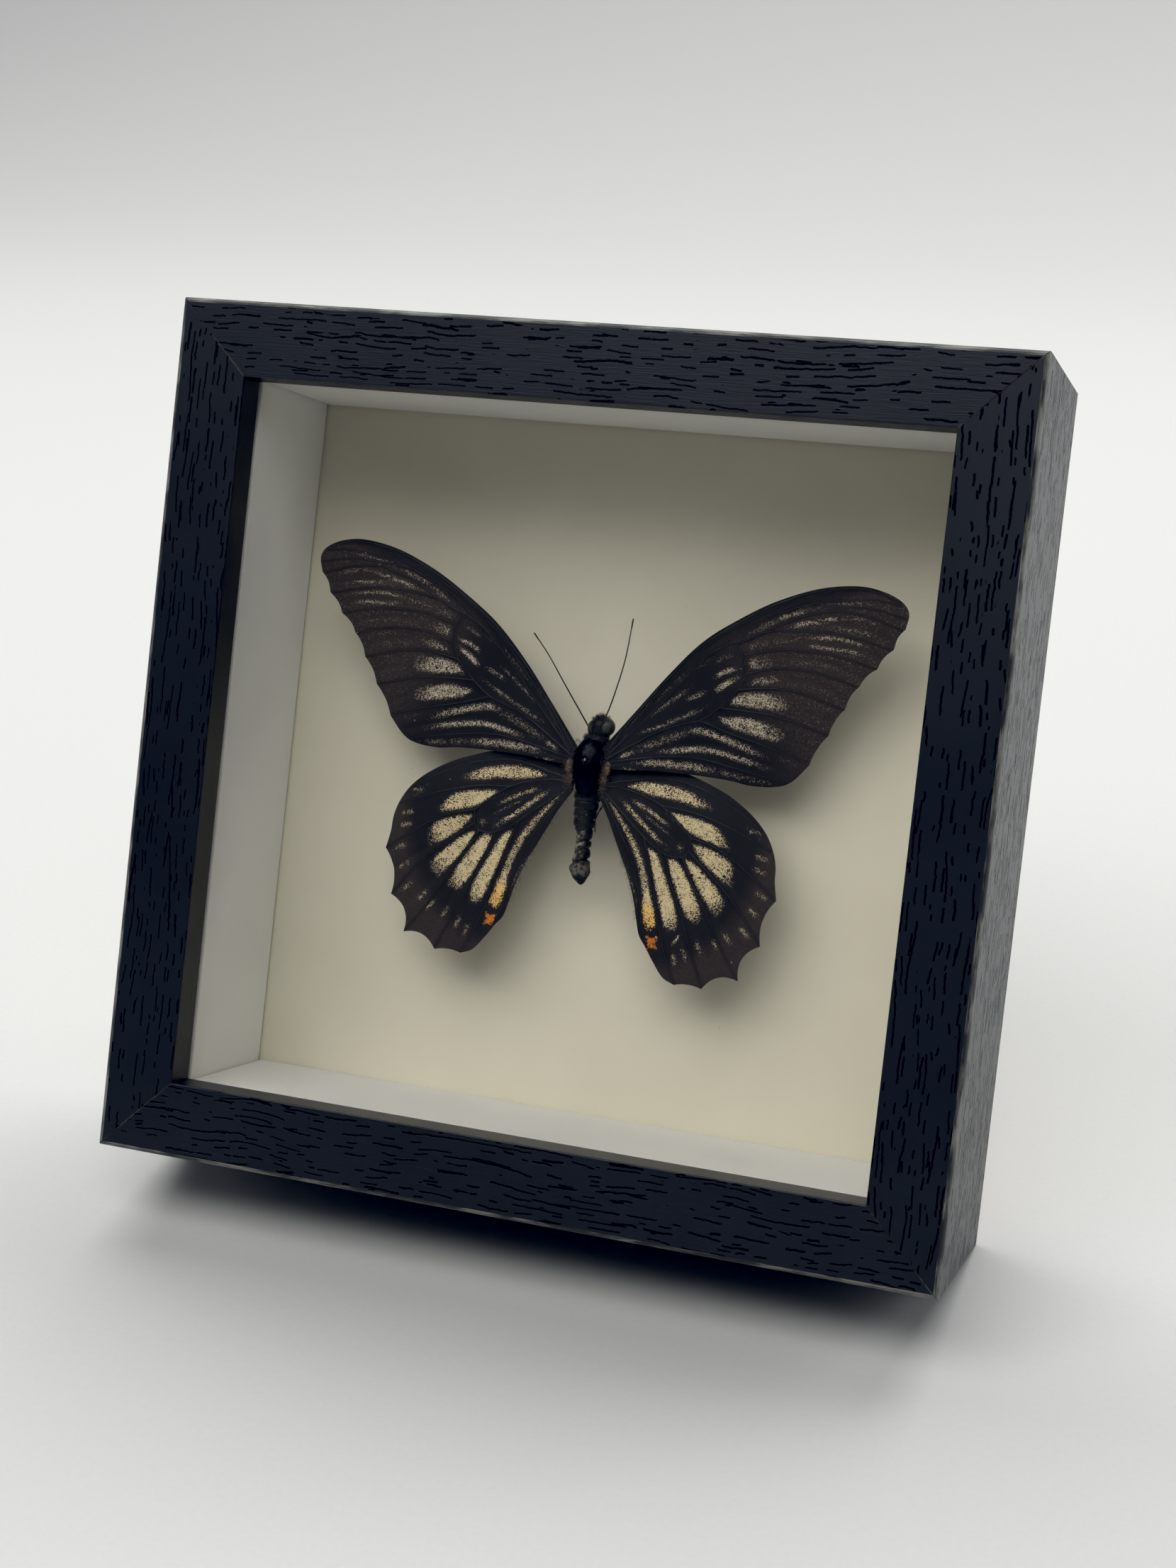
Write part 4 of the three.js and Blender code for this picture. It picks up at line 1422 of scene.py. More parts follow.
HINDWING = WingPlan(
    name="hindwing",
    leading=((WING_ROOT, 1.3), (5, 1.9), (8, 2.3), (11.5, 2.5), (14.5, 2.4), (18.4, 1.8), (22.7, 0.4),
             (26.4, -1.2), (30.3, -3.7), (33.1, -6.4), (34.8, -9.3), (35.6, -12), (35.8, -14.8),
             (36.4, -17.9)),
    vein_ends=((36.4, -17.9), (34.5, -26.1), (31.3, -32.6), (25, -34.9), (20, -34.9)),
    scallops=(1.1, 1.5, 1.3, 0.4),
    trailing=((20, -34.9), (17.8, -33.9), (15.7, -31.3), (14.1, -29), (12.7, -27.1), (11.8, -24),
              (11, -21), (9.6, -17.3), (7.9, -13.8), (6.2, -10.4), (4.6, -7.2), (WING_ROOT, -3.4)),
    veins=(
        Vein(((2.6, -1.6), (7, -0.6), (14, 0.7), (21, -0.4), (27, -2.9), (32.5, -6.3)), 0.2, 0.07, 0.5),
        Vein(((2.6, -2), (7.2, -2), (13.9, -4), (20.2, -9)), 0.2, 0.13, 0.55),
        Vein(((13.9, -4), (19.6, -4.5), (24.3, -5.6), (28.7, -7.1), (34.4, -9.5)), 0.14, 0.07, 0.5),
        Vein(((20.2, -9), (24.2, -10), (27.8, -11.7), (31.5, -14.2), (36.2, -17.8)), 0.14, 0.07, 0.5),
        Vein(((20.2, -9), (19.8, -11.5), (19, -12.6)), 0.13, 0.13, 0.5),
        Vein(((19.9, -11.3), (24.3, -15), (27.6, -17.8), (30.8, -21.3), (34.4, -26)), 0.14, 0.07, 0.45),
        Vein(((19, -12.6), (20.9, -16.2), (23.6, -20.6), (26.7, -26), (31, -32.3)), 0.15, 0.07, 0.45),
        Vein(((2.6, -2.3), (9.5, -8.1), (13.2, -11), (16.4, -12.6), (19, -12.6)), 0.19, 0.14, 0.45),
        Vein(((15.8, -12.4), (17, -16.4), (19.4, -21.6), (21.8, -27.5), (25, -34.6)), 0.15, 0.07, 0.45),
        Vein(((11.6, -9.8), (12.9, -13.8), (14.4, -18.8), (16, -24.9), (17.8, -30), (20, -34.7)),
             0.15, 0.07, 0.42),
        Vein(((2.6, -2.7), (7.6, -10.2), (10.2, -15.2), (11.8, -19.9), (12.8, -24.5), (14.4, -29)),
             0.17, 0.07, 0.4),
        Vein(((3.4, -1.7), (5.2, -0.9), (6.4, -0.2)), 0.14, 0.08, 0.2),
    ),
    folds=(
        ((6, -3), (12, -5.7), (17.4, -9.6)),
        ((5, -4.8), (9, -11.8), (12.2, -18.3), (14, -23.5)),
        ((22, -12), (28, -16.4), (34.5, -21.5)),
        ((20.8, -15), (26, -21.5), (31.5, -27.5)),
        ((18.2, -15), (21.8, -22.5), (26.3, -31)),
    ),
    brushes=(
        Brush(((8.6, -3.7), (12.4, -5.4), (16.2, -7.6)), 0.5, 0.72),
        Brush(((6.8, -4), (10.9, -7.4), (13.6, -9.6), (16.4, -11.6)), 0.55, 0.76),
        Brush(((11.2, -6), (14, -7.7), (16.9, -9.4)), 0.32, 0.42),
        Brush(((18.1, -10.4), (18.5, -11.6)), 0.8, 0.5),
        Brush(((8, -14.1), (9.6, -16.9), (11.1, -19.9), (11.9, -23.4)), 0.28, 0.45),
        Brush(((29.2, -5.6), (31.4, -7), (32.6, -9.2)), 0.9, 0.22),
    ),
    patches=(
        Patch(((7.6, -1.5), (9.8, -0.5), (14.4, -0.4), (18.2, -1), (22.1, -2.4), (23.7, -3.9), (20.2, -3.5),
               (16.3, -2.8), (11.7, -2.4)), 0.68),
        Patch(((15.3, -5.1), (19.6, -5.4), (23.5, -6.3), (25.5, -7.6), (27.3, -10.1), (24.2, -9.6),
               (21.1, -8.6), (17.9, -7)), 0.82),
        Patch(((20.6, -10), (23.4, -10.5), (26.9, -11.9), (28.4, -13.6), (28.2, -16.6), (25.5, -15),
               (22.1, -12.3)), 0.78),
        Patch(((19.2, -12.9), (21, -13.3), (24, -15.7), (27.2, -18.8), (27.3, -20.6), (26, -21.9),
               (23.9, -19.6), (21.4, -16.2)), 0.84),
        Patch(((16.2, -13.3), (18, -13.4), (20.2, -16.2), (22.8, -20.5), (23.8, -22.9), (22.2, -23.7),
               (20.6, -22.4), (18.3, -18)), 0.9),
        Patch(((12.7, -11.9), (14.3, -12.7), (15.8, -15.6), (17.9, -20), (19.3, -23.5), (19.1, -25.6),
               (17.3, -25.2), (15.9, -21.4), (14.4, -17.2)), 0.9),
        Patch(((3.9, -3.7), (6, -5.6), (9.6, -9.9), (11.9, -13.8), (13.2, -17.2), (14.7, -21.8),
               (15.5, -25), (14.2, -25.9), (13.1, -23.8), (12.4, -19.5), (11, -14.8), (8.4, -10.2)),
              0.56, 0.8, 0.2),
        Patch(((13.1, -18.4), (14.0, -20.2), (15.1, -23.4), (15.5, -25), (14.2, -25.9), (13.1, -23.8),
               (12.7, -20.6)), 0.9, 1.1, 0.2),
        Patch(((14.1, -27.1), (15.2, -27.4), (16.1, -27.0), (15.9, -28.2), (16.2, -29.1), (15.0, -28.9),
               (14.3, -29.2), (14.3, -28.2)), 0.92, 0.7, 0.2),
    ),
    lunules=((31.6, -6.6), (33.2, -11), (33.2, -13.3), (33.9, -17.5), (32.8, -20.7), (31.7, -24.4),
             (28.6, -25.8), (26.8, -27.2), (23.8, -28.2), (21.3, -29.7), (19.6, -30.8)),
    grazes=(Brush(((19.9, -26.0), (19.6, -26.9), (19.2, -27.4), (19.0, -28.1)), 0.3, 0.6),),
    depth_at=hindwing_depth,
    brown_at=hindwing_brown,
    orange_at=hindwing_orange,
    cream=(0.72, 0.595, 0.335),
    ground=0.02,
    brush_strength=0.72,
    fold_shade=0.0,
)


@dataclass
class Wing:
    """One wing: a thin membrane over a net of raised veins."""

    plan: WingPlan
    side: int
    rows_along: int = 230
    rows_across: int = 165
    thickness: float = 0.14
    vein_height: float = 0.05
    fold_depth: float = 0.13

    @property
    def place(self) -> str:
        """Names the wing's side."""
        return "right" if self.side > 0 else "left"

    def margin(self) -> np.ndarray:
        """Draws the scalloped outer margin from the last vein's end back to the first.

        Returns:
            Its points, from the trailing corner up to the leading one.
        """
        ends = np.array(self.plan.vein_ends)
        runs = []
        for start, end, dip in zip(ends[:-1], ends[1:], self.plan.scallops):
            span = end - start
            inward = np.array([span[1], -span[0]]) / np.linalg.norm(span)
            control = (start + end) / 2 + inward * 2 * dip
            t = np.linspace(0, 1, 25)[:-1, None]
            runs.append((1 - t) ** 2 * start + 2 * t * (1 - t) * control + t ** 2 * end)
        line = np.vstack(runs + [ends[-1:]])
        return line[::-1]

    def spread(self, s: np.ndarray, t: np.ndarray) -> np.ndarray:
        """Maps a unit square onto the wing between its four edges.

        Args:
            s: Shares from root to margin.
            t: Shares from the trailing edge to the leading one.

        Returns:
            Places on the wing, as rows.
        """
        fine = 400
        leading = smooth_line(self.plan.leading, fine)
        trailing = smooth_line(self.plan.trailing, fine)[::-1]
        margin = self.even(self.margin(), fine)
        root = np.linspace(trailing[0], leading[0], fine)
        grid = np.linspace(0, 1, fine)

        def on(line: np.ndarray, share: np.ndarray) -> np.ndarray:
            """Reads a line at shares of its length."""
            return np.stack([np.interp(share, grid, column) for column in line.T], axis=1)

        s1, t1 = s[:, None], t[:, None]
        sides = (1 - t1) * on(trailing, s) + t1 * on(leading, s) + (1 - s1) * on(root, t) + s1 * on(margin, t)
        corners = ((1 - s1) * (1 - t1) * trailing[0] + s1 * (1 - t1) * trailing[-1]
                   + (1 - s1) * t1 * leading[0] + s1 * t1 * leading[-1])
        return sides - corners

    @staticmethod
    def even(line: np.ndarray, count: int) -> np.ndarray:
        """Spaces a line's points evenly without rounding its corners.

        Args:
            line: The line's points.
            count: How many points it gets.

        Returns:
            The evenly spaced points.
        """
        reach = np.concatenate([[0], np.cumsum(np.linalg.norm(np.diff(line, axis=0), axis=1))])
        places = np.linspace(0, reach[-1], count)
        return np.stack([np.interp(places, reach, column) for column in line.T], axis=1)

    def relief(self, places: np.ndarray) -> np.ndarray:
        """Gives how far the membrane stands back from its even surface: folds in, veins out.

        Args:
            places: Places on the wing, as rows.

        Returns:
            The offset of each.
        """
        back = np.zeros(len(places))
        for vein in self.plan.veins:
            gap, _ = nearest(places, smooth_line(vein.line, LINE_STEPS))
            back -= self.vein_height * np.exp(-((gap / 0.4) ** 2))
        for fold in self.plan.folds:
            gap, share = nearest(places, smooth_line(fold, LINE_STEPS))
            back += self.fold_depth * np.exp(-((gap / 0.7) ** 2)) * ease(share, 0, 0.2)
        u, v = places.T
        sway = 0.12 * np.sin(0.31 * u + 0.9 + self.side) * np.sin(0.27 * v - 0.4 * self.side)
        return back + sway * ease(u, 5, 18)

    def surface(self, places: np.ndarray) -> np.ndarray:
        """Gives the wing's points in space for places on it.

        Args:
            places: Places on the wing, as rows.

        Returns:
            The points, upright and in millimetres.
        """
        u, v = places.T
        depth = self.plan.depth_at(u, v) + self.relief(places)
        return np.stack([self.side * u, depth, v + FRAME_MIDDLE], axis=1)

    def membrane(self) -> bpy.types.Object:
        """Shapes a fine grid into the membrane and gives it a thickness.

        Returns:
            The membrane, with its marks painted on its points.
        """
        put_down()
        bpy.ops.mesh.primitive_grid_add(x_subdivisions=self.rows_along, y_subdivisions=self.rows_across,
                                        size=1)
        sheet = bpy.context.object
        flat = np.zeros(len(sheet.data.vertices) * 3, np.float32)
        sheet.data.vertices.foreach_get("co", flat)
        flat = flat.reshape(-1, 3)
        places = self.spread(flat[:, 0] + 0.5, flat[:, 1] + 0.5)
        sheet.data.vertices.foreach_set("co", self.surface(places).astype(np.float32).ravel())
        colours = self.paint(places).astype(np.float32)
        layer = sheet.data.attributes.new("scales", "FLOAT_COLOR", "POINT")
        layer.data.foreach_set("color", colours.ravel())
        face_outwards(sheet)
        apply_modifier(sheet, "SOLIDIFY", thickness=self.thickness, offset=0)
        take_up(sheet)
        bpy.ops.object.shade_smooth_by_angle(angle=math.radians(50))
        return sheet

    def paint(self, places: np.ndarray) -> np.ndarray:
        """Lays every mark on the wing.

        Args:
            places: Places on the wing, as rows.

        Returns:
            Cream, brown, orange and vein shares for each place.
        """
        u, v = places.T
        plan = self.plan
        cream = np.full(len(places), plan.ground) * plan.brown_at(u, v)
        for stroke in plan.brushes:
            cream = np.maximum(cream, plan.brush_strength * stroke.lay(places))
        for patch in plan.patches:
            cream = np.maximum(cream, patch.lay(places))
        for spot in plan.lunules:
            outward = np.array(spot) - LUNULE_CENTRE
            outward *= 1.3 / np.linalg.norm(outward)
            line = (tuple(np.array(spot) - 1.2 * outward), tuple(np.array(spot) + 0.9 * outward))
            cream = np.maximum(cream, Brush(line, 0.55, 0.42).lay(places))
        if self.side > 0:
            for graze in plan.grazes:
                cream = np.maximum(cream, graze.lay(places))
        for fold in plan.folds:
            gap, share = nearest(places, smooth_line(fold, LINE_STEPS))
            cream *= 1 - plan.fold_shade * np.exp(-((gap / 0.26) ** 2)) * ease(share, 0, 0.15)
        dark = np.zeros(len(places))
        for vein in plan.veins:
            gap, share = nearest(places, smooth_line(vein.line, LINE_STEPS))
            reach = 0.85 * vein.shadow * (1 - 0.35 * share)
            dark = np.maximum(dark, np.exp(-((gap / reach) ** 2)))
        cream *= 1 - 0.9 * ease(dark, 0.25, 0.85)
        return np.stack([cream, plan.brown_at(u, v), plan.orange_at(u, v), dark * 0.8], axis=1)

    def vein_net(self) -> bpy.types.Object:
        """Draws the veins as fine tubes half sunk in the membrane.

        Returns:
            The veins as one piece.
        """
        paths, radii = [], []
        for vein in self.plan.veins:
            line = smooth_line(vein.line, 60)
            path = self.surface(line)
            path[:, 1] -= 0.02
            paths.append(path)
            radii.append(0.78 * np.linspace(vein.root, vein.tip, len(line)))
        return tubes(f"{self.plan.name}_{self.place}_veins", paths, radii, 1)

    def build(self, scales: bpy.types.Material, vein_skin: bpy.types.Material) -> None:
        """Builds and dresses the wing.

        Args:
            scales: The membrane's material.
            vein_skin: The veins' material.
        """
        sheet = self.membrane()
        finish_with(sheet, scales)
        veins = self.vein_net()
        finish_with(veins, vein_skin)
        wing = merge([sheet, veins], f"{self.plan.name}_{self.place}_membrane")
        stand(wing, CASE, self.plan.name, f"{self.plan.name}_{self.place}")


# ---- Body ---------------------------------------------------------------------------------


def reshape(piece: bpy.types.Object, move: Callable[[np.ndarray], np.ndarray]) -> None:
    """Moves a piece's points by a rule.

    Args:
        piece: The piece to change.
        move: Gives the new points for the old ones.
    """
    flat = np.zeros(len(piece.data.vertices) * 3, np.float32)
    piece.data.vertices.foreach_get("co", flat)
    points = move(flat.reshape(-1, 3).astype(float))
    piece.data.vertices.foreach_set("co", points.astype(np.float32).ravel())
    piece.data.update()


def roughen(piece: bpy.types.Object, size: float, strength: float, depth: int = 2) -> None:
    """Pushes a piece's surface in and out by cloudy noise.

    Args:
        piece: The piece to change.
        size: The size of the lumps.
        strength: How far they move the surface.
        depth: The noise's depth.
    """
    clouds = bpy.data.textures.new(f"{piece.name}_lumps", "CLOUDS")
    clouds.noise_scale = size
    clouds.noise_depth = depth
    apply_modifier(piece, "DISPLACE", texture=clouds, strength=strength, mid_level=0.5,
                   texture_coords="LOCAL")


def mark_dry(piece: bpy.types.Object, share: float | np.ndarray = 0.0) -> None:
    """Stores how membranous each point of a piece is."""
    layer = piece.data.attributes.new("dry", "FLOAT", "POINT")
    layer.data.foreach_set("value", np.full(len(piece.data.vertices), share, np.float32))


@dataclass(frozen=True)
class Tuft:
    """Short hairs that grow out of a rounded lump, placed from the frame's middle."""

    name: str
    centre: Point
    spread: Point
    lean: Point
    count: int
    length: float
    seed: int

    def grow(self) -> bpy.types.Object:
        """Grows the hairs, outwards and then along the lean.

        Returns:
            The tuft.
        """
        rng = np.random.default_rng(self.seed)
        out = rng.normal(size=(self.count, 3))
        out /= np.linalg.norm(out, axis=1, keepdims=True)
        roots = np.array(self.centre) + (0, 0, FRAME_MIDDLE) + out * np.array(self.spread)
        runs = (out + np.array(self.lean)) * self.length * rng.uniform(0.55, 1.25, (self.count, 1))
        return hairs(self.name, roots, runs, 0.022, 0.25, self.seed + 1)


@dataclass
class Body:
    """Head, thorax and abdomen of the dried insect, with its eyes and fur."""

    depth: float = BODY_DEPTH
    tufts: tuple[Tuft, ...] = (
        Tuft("fur_crown", (1.1, BODY_DEPTH + 1.1, 8.6), (1.75, 1.7, 1.9), (0, -0.2, 0.3), 900, 0.42, 21),
        Tuft("fur_collar", (0.6, BODY_DEPTH + 0.9, 6.1), (2.25, 2.0, 1.15), (0, -0.2, 0), 700, 0.45, 22),
        Tuft("fur_left", (-2.5, BODY_DEPTH, 3.0), (0.6, 1.4, 2.6), (-0.4, -0.1, -0.3), 420, 0.5, 23),
        Tuft("fur_right", (2.7, BODY_DEPTH, 3.0), (0.6, 1.4, 2.6), (0.4, -0.1, -0.3), 420, 0.5, 24),
        Tuft("fur_waist", (0, BODY_DEPTH + 0.8, -3.8), (2.3, 1.9, 0.9), (0, 0, -0.5), 360, 0.4, 25),
    )
    abdomen_top: float = -3.0
    abdomen_tip: float = -20.0

    def thorax(self) -> bpy.types.Object:
        """Shapes the glossy thorax, broad at the shoulders and dented where the pin goes in.

        Returns:
            The thorax.
        """
        thorax = ball("thorax", (0.12, self.depth, FRAME_MIDDLE + 0.9), (2.85, 2.9, 5.8), 72, 56)

        def shape(p: np.ndarray) -> np.ndarray:
            """Squares the shoulders, ridges the back and sinks the pin's hole.

            Args:
                p: The ball's points.

            Returns:
                The thorax's points.
            """
            up = p[:, 2] - FRAME_MIDDLE
            shoulder = 0.16 * np.exp(-(((up - 3.6) / 2.2) ** 2))
            waist = 0.06 * np.exp(-(((up + 1.8) / 1.6) ** 2))
            p[:, 0] *= 1 + shoulder - waist
            front = np.clip((self.depth - p[:, 1]) / 2.9, 0, 1)
            seam = np.exp(-((p[:, 0] / 0.22) ** 2)) * front
            p[:, 1] += 0.07 * seam
            lobe = np.abs(up + 2.3) < 0.35
            p[:, 1] += 0.18 * lobe * front
            hole = np.hypot(p[:, 0], up - PIN_HEIGHT)
            p[:, 1] += 0.30 * np.exp(-((hole / 0.38) ** 2)) * front
            p[:, 1] -= 0.12 * np.exp(-(((hole - 0.72) / 0.26) ** 2)) * front
            return p

        reshape(thorax, shape)
        roughen(thorax, 1.1, 0.14, 3)
        mark_dry(thorax)
        return thorax

    def abdomen(self) -> bpy.types.Object:
        """Wraps a grid into the shrivelled abdomen, with segments above and rope-like folds below.

        Returns:
            The abdomen.
        """
        put_down()
        around, along = 72, 210
        bpy.ops.mesh.primitive_grid_add(x_subdivisions=around, y_subdivisions=along, size=1)
        abdomen = bpy.context.object
        abdomen.name = "abdomen"
        dry = np.zeros(len(abdomen.data.vertices))

        def wrap(p: np.ndarray) -> np.ndarray:
            """Rolls the grid round the abdomen's bent middle line.

            Args:
                p: The flat grid's points.

            Returns:
                The abdomen's points.
            """
            turn = 2 * math.pi * (p[:, 0] + 0.5)
            share = p[:, 1] + 0.5
            up = self.abdomen_top + share * (self.abdomen_tip - self.abdomen_top)
            heights = [-20.0, -19.8, -19.4, -18.8, -18.1, -17.4, -16.8, -16.2, -15.6, -14.3, -12.1, -10.5,
                       -9.4, -7.2, -5.1, -3.0]
            widths = [0.05, 0.42, 0.82, 1.28, 1.66, 1.86, 1.84, 1.68, 1.5, 1.34, 1.28, 1.4,
                      1.74, 1.92, 2.2, 2.3]
            middles = [0.4, 0.35, 0.25, 0.1, -0.02, -0.08, -0.08, -0.05, 0.0, 0.05, 0.15, 0.05,
                       -0.1, -0.1, 0.05, 0.1]
            width, middle = np.interp(up, heights, widths), np.interp(up, heights, middles)
            front, right = np.sin(turn), np.cos(turn)
            shrunk = ease(-up, 9.6, 10.8)
            swollen = ease(-up, 15.3, 16.6)
            step = np.mod((up + 3.4) / 1.55 + 0.06 * right, 1)
            crease = np.exp(-((np.minimum(step, 1 - step) / 0.10) ** 2))
            lapped = 0.09 * (1 - step) - 0.10 * crease
            coil = np.mod(up / 1.75 - 0.34 * right - 0.12 * front + 0.10 * np.sin(2.1 * up + 1.4), 1)
            groove = np.exp(-((np.minimum(coil, 1 - coil) / 0.12) ** 2))
            ropes = 0.35 + 0.65 * ease(right, -0.35, 0.45)
            roped = (0.14 * np.sin(math.pi * coil) - 0.22 * groove) * ropes * (1 - 0.85 * swollen)
            pleat = 0.05 * np.cos(5 * turn + 1.3 * up) * swollen * ease(up, -19.6, -18)
            lip = -0.16 * np.exp(-(((up + 15.7 - 0.5 * right) / 0.3) ** 2))
            radius = width * (1 + lapped * (1 - shrunk) + (roped + pleat + lip) * shrunk)
            radius = np.where(share > 0.998, 0.0, np.maximum(radius, 0.0))
            panel = ease(-right, -0.55, 0.1) * (0.35 + 0.65 * ease(coil, 0.1, 0.6)) * (1 - 0.9 * groove)
            skin = shrunk * np.maximum(panel * (1 - swollen), 0.5 * swollen * (1 - ease(-up, 17.9, 18.8)))
            edge = 0.5 * (1 - shrunk) * np.exp(-(((step - 0.12) / 0.06) ** 2)) * ease(-right, -0.6, 0.4)
            dry[:] = np.maximum(skin, edge) * ease(front, -0.2, 0.5)
            x = middle + radius * right
            y = self.depth + 0.9 + 0.6 * share - 0.9 * radius * front
            return np.stack([x, y, up + FRAME_MIDDLE], axis=1)

        reshape(abdomen, wrap)
        mark_dry(abdomen, dry)
        take_up(abdomen)
        bpy.ops.object.mode_set(mode="EDIT")
        bpy.ops.mesh.select_all(action="SELECT")
        bpy.ops.mesh.remove_doubles(threshold=0.002)
        bpy.ops.mesh.fill_holes(sides=0)
        bpy.ops.mesh.select_all(action="SELECT")
        bpy.ops.mesh.normals_make_consistent(inside=False)
        put_down()
        roughen(abdomen, 0.5, 0.2, 3)
        return abdomen

    def head(self) -> list[bpy.types.Object]:
        """Shapes the head, its collar and its stubby palps.

        Returns:
            The lumps.
        """
        head = ball("head", (1.15, self.depth + 1.2, FRAME_MIDDLE + 8.1), (1.95, 2.0, 2.3), 48, 32)
        collar = ball("collar", (0.6, self.depth + 0.9, FRAME_MIDDLE + 6.0), (2.3, 2.1, 1.25), 48, 28)
        palps = [
            ball("palp_left", (0.45, self.depth + 0.2, FRAME_MIDDLE + 9.6), (0.45, 0.6, 0.8), 24, 16),
            ball("palp_right", (1.5, self.depth + 0.1, FRAME_MIDDLE + 9.8), (0.45, 0.6, 0.8), 24, 16),
        ]
        for lump in (head, collar, *palps):
            roughen(lump, 0.6, 0.2, 3)
            mark_dry(lump)
        return [head, collar, *palps]

    def eyes(self) -> list[bpy.types.Object]:
        """Shapes the two bulging eyes.

        Returns:
            The eyes.
        """
        left = ball("eye_left", (-0.15, self.depth + 1.1, FRAME_MIDDLE + 8.0), (1.2, 1.35, 1.5), 40, 28)
        right = ball("eye_right", (2.35, self.depth + 0.6, FRAME_MIDDLE + 8.4), (1.45, 1.5, 1.6), 40, 28)
        return [left, right]

    def build(self) -> None:
        """Builds and dresses the body."""
        skin = Horn("thorax_skin", shell=(0.0022, 0.0022, 0.0040), roughness=0.13, wrinkle=0.02,
                    gloss=0.12).material()
        dull = Horn("abdomen_skin", shell=(0.0040, 0.0040, 0.0050), membrane=(0.26, 0.235, 0.18),
                    roughness=0.36, wrinkle=0.08, gloss=0.28).material()
        eye_skin = CompoundEye().material()
        fur = Hair("dark_fur", (0.006, 0.006, 0.007), (0.035, 0.03, 0.026)).material()
        thorax, abdomen = self.thorax(), self.abdomen()
        lumps, eyes = self.head(), self.eyes()
        finish_with(thorax, skin)
        finish_with(abdomen, dull)
        for lump in lumps:
            finish_with(lump, dull)
        for eye in eyes:
            mark_dry(eye)
            finish_with(eye, eye_skin)
        tufts = [tuft.grow() for tuft in self.tufts]
        for tuft in tufts:
            mark_dry(tuft)
            finish_with(tuft, fur)
        for smooth in (thorax, abdomen, *lumps, *eyes):
            take_up(smooth)
            bpy.ops.object.shade_smooth()
        body = merge([thorax, abdomen, *lumps, *eyes, *tufts], "butterfly_body")
        stand(body, CASE, "body", "body")


@dataclass
class WingBases:
    """Tan hair and dry skin where the wings join the thorax, and pale hair on the inner margins."""

    seed: int = 40
    base_hairs: int = 700
    margin_hairs: int = 330

    def build(self) -> None:
        """Builds and dresses the tufts."""
        tan = Hair("tan_tuft_hair", (0.020, 0.014, 0.010), (0.13, 0.088, 0.05)).material()
        pale = Hair("pale_margin_hair", (0.07, 0.062, 0.05), (0.22, 0.20, 0.165)).material()
        dry = Horn("dry_membrane", (0.016, 0.012, 0.009), (0.19, 0.13, 0.065), 0.5, 0.12).material()
        up = FRAME_MIDDLE
        lobes = [
            ball("lobe_right", (3.75, 25.1, up + 1.2), (0.5, 0.4, 1.2), 40, 28),
            ball("lobe_right_low", (3.3, 25.4, up - 0.9), (0.45, 0.4, 1.0), 40, 28),
            ball("lobe_left", (-3.35, 25.1, up + 0.9), (0.6, 0.4, 1.3), 40, 28),
            ball("lobe_left_low", (-2.9, 25.4, up - 1.2), (0.45, 0.4, 0.9), 40, 28),
        ]
        for lobe in lobes:
            roughen(lobe, 0.45, 0.4, 3)
            mark_dry(lobe, 1.0)
            take_up(lobe)
            bpy.ops.object.shade_smooth()
            finish_with(lobe, dry)
        rng = np.random.default_rng(self.seed)
        roots, runs = [], []
        for side in (-1, 1):
            count = self.base_hairs
            centre = np.array([side * 2.95, 25.3, FRAME_MIDDLE + 0.3])
            out = rng.normal(size=(count, 3)) * (0.4, 0.45, 1.5)
            roots.append(centre + out)
            run = np.array([side * 0.8, -0.15, -0.25]) + rng.normal(size=(count, 3)) * 0.45
            runs.append(run * rng.uniform(0.25, 0.7, (count, 1)))
        tuft = hairs("wing_base_hair", np.vstack(roots), np.vstack(runs), 0.024, 0.3, self.seed + 1)
        mark_dry(tuft)
        finish_with(tuft, tan)
        stand(merge([*lobes, tuft], "wing_base_tufts"), CASE, "body")
        roots, runs = [], []
        count = self.margin_hairs
        for side in (-1, 1):
            margin = smooth_line(HINDWING.trailing, 400)[150:-20]
            places = margin[rng.integers(0, len(margin), count)] + rng.normal(size=(count, 2)) * 0.06
            depth = hindwing_depth(places[:, 0], places[:, 1])
            roots.append(np.stack([side * places[:, 0], depth, places[:, 1] + FRAME_MIDDLE], axis=1))
            run = np.array([-side * 0.75, 0.1, -0.9]) + rng.normal(size=(count, 3)) * 0.22
            runs.append(run * rng.uniform(0.2, 0.8, (count, 1)))
        fringe = hairs("inner_margin_hair", np.vstack(roots), np.vstack(runs), 0.016, 0.2, self.seed + 2)
        finish_with(fringe, pale)
        stand(fringe, CASE, "body")


